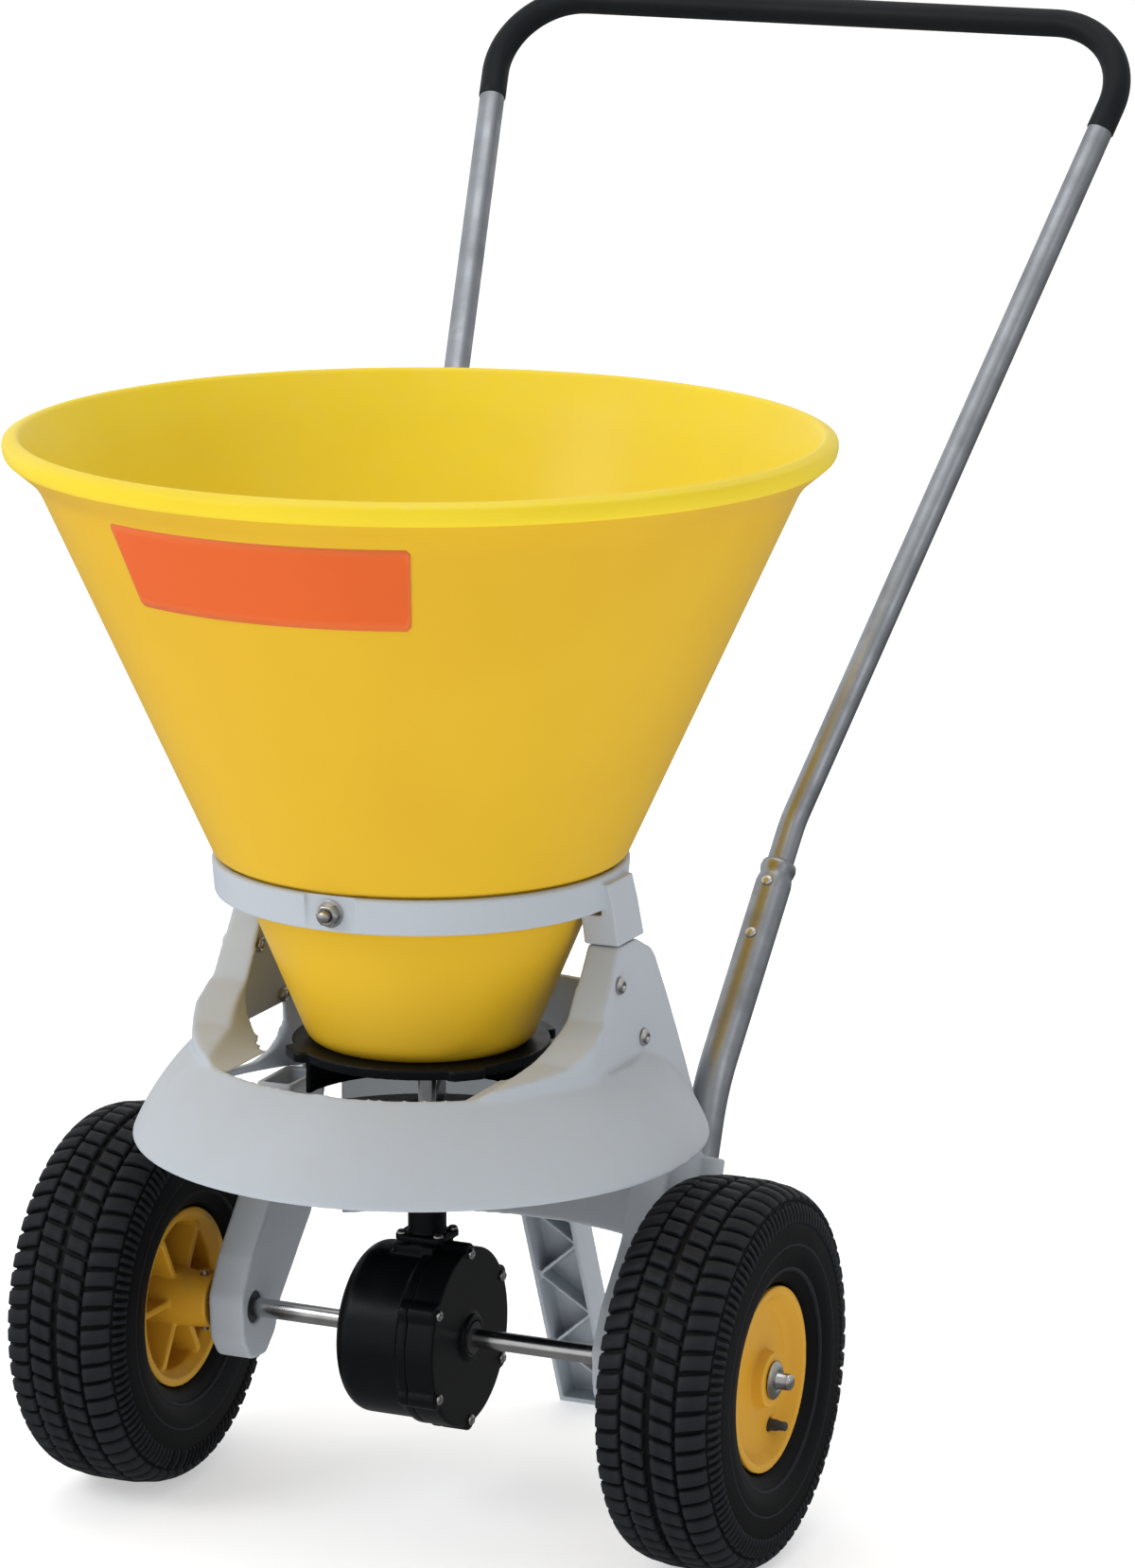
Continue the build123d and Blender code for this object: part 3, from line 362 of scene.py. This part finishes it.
thread += [(4.0, -1.5), (4.0, -12.6), (7.4, -12.8), (7.9, -13.6), (7.2, -15.4), (4.5, -16.0), (0, -16.1)]
turned(bolt_mesh, in_mm(thread), nut_face, forward, 36)
stands_for(mesh_object("ring_bolt_plated", bolt_mesh, zinc_steel), "ring_bolt")


# ---- Hopper and its decal ---------------------------------------------------------------------
# Rotomoulded yellow polyethylene bin, glossy outside, with a rolled lip where the thinner wall lets light
# through;
# that glow is painted, as the pale edge colour on the lip's tight rounding. A plain orange vinyl decal is
# stuck on its front.
hopper_outline = [(52, 337), (74, 337), (114.5, 434.5), (130.6, 438.8), (131.4, 463.2), (136.8, 465.8),
                  (250, 714), (270.5, 731), (271.8, 736), (271.6, 741), (262, 745.6), (246, 717),
                  (132.2, 468), (127, 463), (126.2, 443), (110.8, 438), (70.5, 341.4), (52, 341.4)]
corner_steps = 5
outline = smooth_corners(in_mm(hopper_outline), 9 * mm, corner_steps)
inside_from = 7 * (corner_steps + 1)
# The pale edge colours of both hopper materials paint the lip's glow as a highlight.
hopper_yellow = plastic("hopper_yellow", (0.735, 0.455, 0.022), (0.70, 0.42, 0.018), (0.86, 0.66, 0.12),
                        (0.62, 0.50, 0.26), 0.10, 0.34, 0.10, 260.0, 0.12, Coat_Weight=0.06,
                        Coat_Roughness=0.10, Specular_IOR_Level=0.14)
# The inside is the same plastic in a lighter yellow: painted light falling into the open bin.
hopper_inside_painted_light = plastic("hopper_inside_painted_light", (0.86, 0.66, 0.024), (0.82, 0.61, 0.020), (0.86, 0.70, 0.14),
                        (0.70, 0.58, 0.30), 0.12, 0.38, 0.12, 260.0, 0.12, Coat_Weight=0.1,
                        Coat_Roughness=0.2, Specular_IOR_Level=0.2)
hopper_mesh = bmesh.new()
turned(hopper_mesh, [tuple(point) for point in outline], (0, hopper_y, 0), (0, 0, 1), 160,
       slot_from=inside_from)
stands_for(mesh_object("hopper_bin", hopper_mesh, hopper_yellow, hopper_inside_painted_light), "hopper")

label_start, label_turn, label_low, label_high = radians(244), radians(50), 656 * mm, 712 * mm
cone_low, cone_low_r, cone_slope = 465.8 * mm, 136.8 * mm, (250 - 136.8) / (714 - 465.8)
label_corner, label_thick, label_columns, label_rows = 3 * mm, 0.5 * mm, 90, 10
label_orange = plastic("label_orange", (0.76, 0.125, 0.016), (0.73, 0.115, 0.015), (0.80, 0.20, 0.06),
                       dust_colour, 0.05, 0.36, 0.08, 300.0, 0.05, Coat_Weight=0.1, Coat_Roughness=0.2,
                       Specular_IOR_Level=0.2)
label_mesh = bmesh.new()
label_grid = []
for column in range(label_columns + 1):
    share = column / label_columns
    angle = label_start + share * label_turn
    along = min(share, 1 - share) * label_turn * 235 * mm
    inset = label_corner - sqrt(label_corner ** 2 - max(label_corner - along, 0) ** 2)
    line = []
    for row in range(label_rows + 1):
        z = label_low + inset + (label_high - label_low - 2 * inset) * row / label_rows
        radius = cone_low_r + cone_slope * (z - cone_low) + 0.15 * mm
        line.append(label_mesh.verts.new((radius * cos(angle), hopper_y + radius * sin(angle), z)))
    label_grid.append(line)
for column in range(label_columns):
    for row in range(label_rows):
        label_mesh.faces.new([label_grid[column][row], label_grid[column + 1][row],
                              label_grid[column + 1][row + 1], label_grid[column][row + 1]])
label = mesh_object("hopper_decal", label_mesh, label_orange)
thickness = label.modifiers.new("vinyl", "SOLIDIFY")
thickness.thickness, thickness.offset = label_thick, 1.0
stands_for(label, "hopper_label")


# ---- Screws of the frame ----------------------------------------------------------------------
# Two plated button-head screws a side go through the panels into the ring's lugs; one cross bolt a
# side holds each lower tube in its leg.
def button_screw(builder, place, axis, head, height, shank, length, recess=hexagon, recess_r=0.42):
    """A domed screw head on its bearing face, with a driven recess and a plain shank behind."""
    dome = [(0, 0.45 * height), (recess_r * head * 0.8, 0.45 * height), (recess_r * head, 0.97 * height),
            (0.62 * head, 0.95 * height), (0.85 * head, 0.68 * height), (0.98 * head, 0.3 * height),
            (head, 0), (shank, 0), (shank, -length), (0, -length)]
    turned(builder, dome, place, axis, 36, recess, (1, 2))


lug_bolt_mesh = bmesh.new()
lug_places = [(-8, 387), (28, 344)]
panel_top, panel_foot, panel_top_z, panel_foot_z = 142.0, 145.0, 412.0, 333.0
lug_nut_x = 118.0
lug_nut = [(3.1, 0), (4.8, 0), (5.5, 0.6), (5.5, 3.4), (4.8, 4.0), (3.1, 4.0)]
for hand in (-1, 1):
    for y, z in lug_places:
        panel = panel_top + (panel_foot - panel_top) * (panel_top_z - z) / (panel_top_z - panel_foot_z)
        spot = (hand * (panel + 0.2) * mm, axle_y + y * mm, z * mm)
        button_screw(lug_bolt_mesh, spot, (hand, 0, 0), 6 * mm, 3.4 * mm, 3 * mm, (panel - lug_nut_x) * mm)
        nut_place = (hand * lug_nut_x * mm, axle_y + y * mm, z * mm)
        turned(lug_bolt_mesh, in_mm(lug_nut), nut_place, (hand, 0, 0), 36, hexagon, (2, 3))
stands_for(mesh_object("lug_screws", lug_bolt_mesh, zinc_steel), "lug_bolts")
socket_bolt_mesh = bmesh.new()
socket_face_x, socket_y, socket_z = 166.6, 107, 220
for hand in (-1, 1):
    spot = (hand * socket_face_x * mm, axle_y + socket_y * mm, socket_z * mm)
    button_screw(socket_bolt_mesh, spot, (hand, 0, 0), 5.5 * mm, 3 * mm, 3 * mm, 42.5 * mm)
stands_for(mesh_object("socket_screws", socket_bolt_mesh, zinc_steel), "socket_bolts")


# ---- Axle, bushes and washers -----------------------------------------------------------------
# Ground steel bar in plastic bushes, closed at each end by a domed push-on washer.
axle_steel = steel("axle_steel", (0.66, 0.66, 0.66), (0.52, 0.52, 0.51), 0.14, 0.12, 900.0)
bush_plastic = plastic("bush_plastic", (0.030, 0.030, 0.034), (0.024, 0.024, 0.027),
                       (0.06, 0.06, 0.065), dust_colour, 0.05, 0.45, 0.1, 800.0, 0.15, Specular_IOR_Level=0.3)
axle_z = 130 * mm
axle_mesh = bmesh.new()
axle_outline = [(0, -264.9), (4.0, -264.9), (5.1, -264.0), (5.6, -262.6), (5.6, -252.2), (6.1, -251.8),
                (6.5, -251.0), (6.5, 251.0), (6.1, 251.8), (5.6, 252.2), (5.6, 262.6), (5.1, 264.0),
                (4.0, 264.9), (0, 264.9)]
turned(axle_mesh, in_mm(axle_outline), (0, axle_y, axle_z), (1, 0, 0), 48)
stands_for(mesh_object("axle_bar", axle_mesh, axle_steel), "axle")
washer_x = 252
washer_outline = [(5.65, 0.1), (12.4, 0.0), (13.0, 0.5), (12.8, 1.3), (11.6, 2.2), (9.8, 3.1), (8.0, 3.4),
                  (6.2, 3.2), (5.65, 2.6)]
for hand, washer_name in ((-1, "washer_left"), (1, "washer_right")):
    washer_mesh = bmesh.new()
    turned(washer_mesh, in_mm(washer_outline), (hand * washer_x * mm, axle_y, axle_z),
           (hand, 0, 0), 48)
    stands_for(mesh_object(washer_name + "_pressed", washer_mesh, zinc_steel), washer_name)


# ---- Wheels -----------------------------------------------------------------------------------
# Pneumatic block-tread tyres on moulded orange-yellow rims: six ribs behind a dished disc, with soil
# left in the recesses. The left rim is pinned to the axle, the right one turns on bushes.
rim_yellow = plastic("rim_yellow", (0.70, 0.38, 0.022), (0.64, 0.33, 0.020), (0.80, 0.50, 0.06),
                     (0.30, 0.18, 0.07), 0.3, 0.40, 0.14, 500.0, 0.25, Specular_IOR_Level=0.3)
rim_tree = rim_yellow.node_tree
soil_shape = put(rim_tree, "AmbientOcclusion", {"Distance": 0.03}, samples=8)
soil_noise = put(rim_tree, "TexNoise", {"Scale": 55.0, "Detail": 5.0})
soil_hollow = put(rim_tree, "MapRange", {"Value": soil_shape.outputs["AO"], "From Min": 0.55,
                                          "From Max": 0.15})
soil_patch = put(rim_tree, "MapRange", {"Value": soil_noise.outputs["Fac"], "From Min": 0.38,
                                         "From Max": 0.6})
soil_mask = put(rim_tree, "Math", {0: soil_hollow.outputs["Result"], 1: soil_patch.outputs["Result"]},
                operation="MULTIPLY")
rim_shader = rim_tree.nodes["Principled BSDF"]
clean_rim = rim_shader.inputs["Base Color"].links[0].from_socket
rim_tree.links.new(blend_colour(rim_tree, soil_mask.outputs[0], clean_rim, (0.19, 0.10, 0.04, 1), 0.7),
                   rim_shader.inputs["Base Color"])
for rim in ("rim_left", "rim_right"):
    moulded_copy(rim, 0.9 * mm, 4, rim_yellow)
valve_rubber = plastic("valve_rubber", (0.030, 0.030, 0.031), (0.022, 0.022, 0.023), (0.06, 0.06, 0.06),
                       dust_colour, 0.1, 0.5, 0.1, 700.0, 0.2)
valve_outline = [(0, 29.5), (2.4, 29.5), (3.1, 28.9), (3.1, 24.4), (3.5, 23.8), (3.9, 22.0), (4.35, 10),
                 (4.35, 0.1), (0, 0.1)]

tyre_rubber = plastic("tyre_rubber", (0.0065, 0.0070, 0.0085), (0.0040, 0.0045, 0.0055),
                      (0.026, 0.029, 0.036), (0.05, 0.046, 0.040),
                      0.15, 0.42, 0.14, 600.0, 0.35, Specular_IOR_Level=0.3, IOR=1.25)
carcass = [(-26, 54.2), (-28.6, 62.4), (-35, 65.5), (-42.2, 80), (-42.2, 104), (-37, 119.5),
           (-26, 124.4), (0, 126.2), (26, 124.4), (37, 119.5), (42.2, 104), (42.2, 80), (35, 65.5),
           (28.6, 62.4), (26, 54.2), (20, 54), (22, 62), (35, 80), (35, 102), (30, 115),
           (-30, 115), (-35, 102), (-35, 80), (-22, 62),
           (-20, 54)]
tread_count = 60
wheel_x = 215.6
valve_out, valve_back, valve_down = 8, 20, 38


def tread_point(across, lift):
    """Tyre section at a distance across from the middle: (x, radius), lifted off the carcass."""
    section = [(0, 126.2, 0, 1), (14, 125.9, 0.04, 1), (26, 124.2, 0.18, 0.98), (33, 121.6, 0.42, 0.91),
               (38.4, 116.8, 0.80, 0.60), (41.2, 110.4, 0.96, 0.27), (42.0, 103.0, 1.0, 0.05),
               (42.2, 95.0, 1.0, 0), (42.2, 86.0, 1.0, 0)]
    travel = 0.0
    for (x0, r0, nx0, nr0), (x1, r1, nx1, nr1) in zip(section, section[1:]):
        step = sqrt((x1 - x0) ** 2 + (r1 - r0) ** 2)
        if across <= travel + step or (x1, r1) == section[-1][:2]:
            share = min(max((across - travel) / step, 0), 1)
            return (x0 + (x1 - x0) * share + lift * (nx0 + (nx1 - nx0) * share),
                    r0 + (r1 - r0) * share + lift * (nr0 + (nr1 - nr0) * share))
        travel += step


def tread_bar(builder, centre_x, side, start, end, angle, width, height, skew, steps):
    """One moulded block or bar that follows the tyre's section from start to end."""
    bevel = min(1.1, width * 0.22)
    section = [(-width / 2 - 0.4, -1.0), (-width / 2, height - bevel), (-width / 2 + bevel, height),
               (width / 2 - bevel, height), (width / 2, height - bevel), (width / 2 + 0.4, -1.0)]
    stations = []
    for step in range(steps + 1):
        share = step / steps
        stations.append((start + (end - start) * share, 1.0, share))
    edge = min(1.1, (end - start) * 0.2)
    stations[0] = (start + edge, 1.0, 0.0)
    stations[-1] = (end - edge, 1.0, 1.0)
    stations = [(start - 0.3, None, 0.0), (start, 0.0, 0.0), *stations,
                (end, 0.0, 1.0), (end + 0.3, None, 1.0)]
    rows = []
    for across, full, share in stations:
        row = []
        for around, lift in section:
            if full is None:
                lift = -1.0
            elif full == 0.0:
                lift = min(lift, height - bevel)
                around *= 0.94
            x, radius = tread_point(max(across, 0.0), lift)
            turn = angle + (around + skew * (share - 0.5)) / radius
            row.append(builder.verts.new(((centre_x + side * x) * mm, axle_y + radius * mm * cos(turn),
                                          axle_z + radius * mm * sin(turn))))
        rows.append(row)
    for low, high in zip(rows, rows[1:]):
        for index in range(len(section) - 1):
            builder.faces.new([low[index], low[index + 1], high[index + 1], high[index]])
    builder.faces.new(rows[0])
    builder.faces.new(rows[-1])


for hand, tyre_name in ((-1, "tyre_left"), (1, "tyre_right")):
    centre_x = hand * wheel_x
    tyre_mesh = bmesh.new()
    outline = smooth_corners([(r * mm, x * mm) for x, r in carcass], 9 * mm, 5)
    turned(tyre_mesh, [tuple(point) for point in outline], (centre_x * mm, axle_y, axle_z), (1, 0, 0), 180)
    for index in range(tread_count):
        angle = 2 * pi * index / tread_count
        stagger = angle + pi / tread_count
        for side in (-1, 1):
            turn = angle if side > 0 else stagger
            offset = turn + pi / tread_count
            tread_bar(tyre_mesh, centre_x, side, 2.6, 17.6, turn, 10.2, 3.9, 3.6 * side, 4)
            tread_bar(tyre_mesh, centre_x, side, 20.0, 38.5, offset, 10.0, 3.8, -3.0 * side, 6)
            for share, start in ((-0.25, 40.0), (0.25, 41.0)):
                tread_bar(tyre_mesh, centre_x, side, start, 54.0, offset + share * 2 * pi / tread_count, 3.4,
                          1.0, 0.0, 4)
    for side in (-1, 1):
        for ring_r, ring_h, ring_w in ((90.0, 0.28, 1.2), (74.0, 0.9, 2.2)):
            x0 = 42.0 if ring_r > 80 else 38.9
            bead = [(ring_r - ring_w, x0 - 1), (ring_r - ring_w * 0.5, x0 + ring_h), (ring_r + ring_w * 0.5,
                    x0 + ring_h), (ring_r + ring_w, x0 - 1)]
            turned(tyre_mesh, [(r * mm, side * x * mm) for r, x in bead], (centre_x * mm, axle_y, axle_z),
                   (1, 0, 0), 180)
    stands_for(mesh_object(tyre_name + "_casing", tyre_mesh, tyre_rubber), tyre_name)
    valve_name = tyre_name.replace("tyre", "valve")
    valve_mesh = bmesh.new()
    turned(valve_mesh, in_mm(valve_outline),
           (hand * (wheel_x + valve_out) * mm, axle_y + valve_back * mm, axle_z - valve_down * mm),
           (hand, 0, 0), 36)
    stands_for(mesh_object(valve_name + "_stem", valve_mesh, valve_rubber), valve_name)


# ---- Gearbox ----------------------------------------------------------------------------------
# Semi-gloss black moulded drum in two halves on the axle, joined by six screws in lobes, with a
# screwed-on neck that carries the upright shaft.
black_plastic = plastic("black_plastic", (0.0035, 0.0045, 0.0060), (0.0050, 0.0060, 0.0075),
                        (0.016, 0.018, 0.022), (0.03, 0.028, 0.026),
                        0.10, 0.24, 0.12, 900.0, 0.2, Specular_IOR_Level=0.3, IOR=1.3)
moulded_copy("gearbox_housing", 1.1 * mm, 4, black_plastic)
moulded_copy("gearbox_cover", 0.9 * mm, 4, black_plastic)
moulded_copy("gearbox_neck", 0.8 * mm, 3, black_plastic)
cover_screw_mesh = bmesh.new()
cover_face_x, lobe_circle, lobe_count = 32 * mm, 58 * mm, 6
for index in range(lobe_count):
    angle = radians(30 + 60 * index)
    spot = (cover_face_x, axle_y + lobe_circle * cos(angle), axle_z + lobe_circle * sin(angle))
    button_screw(cover_screw_mesh, spot, (1, 0, 0), 3.8 * mm, 2.6 * mm, 1.85 * mm, 21 * mm, cross, 0.55)
stands_for(mesh_object("cover_screws_plated", cover_screw_mesh, zinc_steel), "cover_screws")
neck_screw_mesh = bmesh.new()
neck_flange_z = 200 * mm
for x in (-13.5, 13.5):
    for y in (-11.5, 11.5):
        spot = (x * mm, axle_y + y * mm, neck_flange_z)
        button_screw(neck_screw_mesh, spot, (0, 0, 1), 3.6 * mm, 2.8 * mm, 2 * mm, 4 * mm, cross, 0.55)
stands_for(mesh_object("neck_screws_plated", neck_screw_mesh, zinc_steel), "neck_screws")


# ---- Spinner and outlet -----------------------------------------------------------------------
# The upright steel shaft carries the vaned disc under the skirt; above it a black plate closes the
# hopper's floor, with a steel shutter and its lever below.
shaft_mesh = bmesh.new()
shaft_outline = [(0, 142.1), (5.4, 142.1), (6, 142.8), (6, 354.8), (5.2, 355.9), (0, 355.9)]
turned(shaft_mesh, in_mm(shaft_outline), (0, axle_y, 0), (0, 0, 1), 40)
stands_for(mesh_object("spinner_shaft_bar", shaft_mesh, axle_steel), "spinner_shaft")
moulded_copy("spinner_disc", 1.1 * mm, 3, black_plastic)
moulded_copy("outlet_plate", 1.1 * mm, 3, black_plastic)
moulded_copy("agitator", 0.7 * mm, 3, axle_steel)
moulded_copy("shutter_plate", 0.8 * mm, 2, axle_steel)
moulded_copy("dose_lever", 0.8 * mm, 2, zinc_steel)
knob_mesh = bmesh.new()
knob_reach = 204 * mm
knob_outline = [(0, 376.9), (5.0, 376.8), (8.6, 375.4), (10.6, 372.2), (10.9, 368.5), (10.6, 364.0),
                (9.4, 360.4), (8.2, 358.4), (8.0, 357.1), (0, 357.1)]
turned(knob_mesh, in_mm(knob_outline), (0, axle_y + knob_reach, 0), (0, 0, 1), 60,
       lambda angle: 1 + 0.035 * cos(12 * angle), (3, 4, 5))
stands_for(mesh_object("dose_knob_fluted", knob_mesh, black_plastic), "dose_knob")


# ---- Handle -----------------------------------------------------------------------------------
# Galvanised steel tube bent in one piece, pushed into two lower tubes whose mouths are crimped and
# riveted, and covered over its top bar by a soft black PVC sleeve.
def bent_path(points, radius, steps=14):
    """Points along an open line whose corners are bent to a radius."""
    path = [Vector(points[0])]
    for before, corner, after in zip(points, points[1:], points[2:]):
        before, corner, after = Vector(before), Vector(corner), Vector(after)
        come, leave = (before - corner).normalized(), (after - corner).normalized()
        half = come.angle(leave) / 2
        reach = radius / max(1e-6, sin(half) / cos(half))
        middle = corner + (come + leave).normalized() * (radius / sin(half))
        start, end = corner + come * reach, corner + leave * reach
        for step in range(steps + 1):
            spoke = (start - middle).slerp(end - middle, step / steps)
            path.append(middle + spoke.normalized() * radius)
    return path + [Vector(points[-1])]


def finely(path, longest):
    """The same line with its long runs divided."""
    fine = [path[0]]
    for a, b in zip(path, path[1:]):
        parts = max(1, int((b - a).length / longest))
        fine += [a.lerp(b, part / parts) for part in range(1, parts + 1)]
    return fine


def swept(builder, path, radii, segments=40, cap=True):
    """A round section carried along a path; radii gives each point's radius."""
    side = (path[1] - path[0]).orthogonal().normalized()
    rings = []
    for index, point in enumerate(path):
        ahead = (path[min(index + 1, len(path) - 1)] - path[max(index - 1, 0)]).normalized()
        side = (side - ahead * side.dot(ahead)).normalized()
        other = ahead.cross(side)
        rings.append([builder.verts.new(point + (side * cos(2 * pi * turn / segments)
                                                 + other * sin(2 * pi * turn / segments)) * radii[index])
                      for turn in range(segments)])
    for low, high in zip(rings, rings[1:]):
        for turn in range(segments):
            after = (turn + 1) % segments
            builder.faces.new([low[turn], low[after], high[after], high[turn]])
    if cap:
        builder.faces.new(rings[0])
        builder.faces.new(rings[-1])


tube_steel = steel("tube_steel", (0.36, 0.385, 0.42), (0.27, 0.285, 0.31), 0.32, 0.12, 500.0, spangle=0.30)
grip_black = plastic("grip_black", (0.0080, 0.0105, 0.0135), (0.0060, 0.0080, 0.0100),
                     (0.022, 0.026, 0.032), (0.05, 0.046, 0.042),
                     0.10, 0.40, 0.12, 700.0, 0.3, Specular_IOR_Level=0.3, IOR=1.3)
sleeve_x, tube_r, sleeve_r, grip_r = 149.5, 9.3, 12.5, 10.1
bend = (sleeve_x, 274.0, 439.0)
bar_corner = (254.6, 673.9, 954.0)
bar_bend = 58 * mm


def from_axle(point, hand=1):
    """A point given from the axle in millimetres, in the frame's metres."""
    x, y, z = point
    return Vector((hand * x * mm, axle_y + y * mm, z * mm))


for hand, sleeve_name in ((-1, "sleeve_left"), (1, "sleeve_right")):
    line = bent_path([from_axle((sleeve_x, 101.2, 203.2), hand), from_axle((sleeve_x, 131, 284), hand),
                      from_axle((sleeve_x, 250, 413), hand)], 120 * mm)
    line = finely(line, 3 * mm)
    total = sum((b - a).length for a, b in zip(line, line[1:]))
    radii, travel = [], 0.0
    for index, point in enumerate(line):
        travel += (point - line[index - 1]).length if index else 0.0
        left = (total - travel) / mm
        crimp = 1.3 * max(0.0, 1 - abs(left - 9) / 5.0)
        radii.append((sleeve_r - crimp - (0.6 if left < 0.2 else 0.0)) * mm)
    sleeve_mesh = bmesh.new()
    swept(sleeve_mesh, line, radii, 48)
    stands_for(mesh_object(sleeve_name + "_tube", sleeve_mesh, tube_steel), sleeve_name)

tube_end = (sleeve_x, 190, 348)
tube_line = [from_axle(tube_end), from_axle(bend), from_axle(bar_corner),
             from_axle(bar_corner, -1), from_axle(bend, -1), from_axle(tube_end, -1)]
lower = bent_path(tube_line[:3], 100 * mm)
upper = bent_path(tube_line[1:5], bar_bend, 24)
other = bent_path(tube_line[3:], 100 * mm)
handle_path = finely(lower[:-1] + upper[1:-1] + other[1:], 12 * mm)
tube_mesh = bmesh.new()
swept(tube_mesh, handle_path, [tube_r * mm] * len(handle_path), 48)
stands_for(mesh_object("handle_bent_tube", tube_mesh, tube_steel), "handle_tube")

grip_share = 0.864
grip_start = [bend[axis] + grip_share * (bar_corner[axis] - bend[axis]) for axis in range(3)]
grip_line = finely(bent_path([from_axle(grip_start), from_axle(bar_corner), from_axle(bar_corner, -1),
                              from_axle(grip_start, -1)], bar_bend, 24), 6 * mm)
ends = [line_end + (beyond - line_end).normalized() * 0.8 * mm
        for line_end, beyond in ((grip_line[0], grip_line[1]), (grip_line[-1], grip_line[-2]))]
grip_line = [grip_line[0], ends[0]] + grip_line[1:-1] + [ends[1], grip_line[-1]]
grip_radii = [(grip_r - 0.8) * mm] + [grip_r * mm] * (len(grip_line) - 2) + [(grip_r - 0.8) * mm]
grip_mesh = bmesh.new()
swept(grip_mesh, grip_line, grip_radii, 48)
stands_for(mesh_object("handle_grip_sleeve", grip_mesh, grip_black), "handle_grip")

rivet_mesh = bmesh.new()
rivet_lean = Vector((0, -0.735, 0.678))
rivet_outline = [(0, 2.0), (1.2, 1.95), (2.6, 1.55), (3.8, 0.7), (4.2, 0), (2.3, 0), (2.3, -2.2), (0, -2.2)]
for hand in (-1, 1):
    for y, z in ((237.0, 398.9), (209.0, 368.6)):
        foot = from_axle((sleeve_x, y, z), hand) + rivet_lean * (sleeve_r - 0.1) * mm
        turned(rivet_mesh, in_mm(rivet_outline), foot, rivet_lean, 32)
stands_for(mesh_object("rivets_domed", rivet_mesh, zinc_steel), "sleeve_rivets")


# ---- Small parts shown as the frame has them --------------------------------------------------
# Bushes, gears, pins, outlet screws and the collar ring keep their own shape and take their finish.
finish = {"zinc_steel": zinc_steel, "axle_steel": axle_steel, "bush_plastic": bush_plastic,
          "black_plastic": black_plastic, "frame_grey": frame_grey, "tube_steel": tube_steel}
for node, part in frame["nodes"].items():
    if not part.hide_render:
        for material_slot in part.material_slots:
            material_slot.material = finish[slot_of_node[node]]
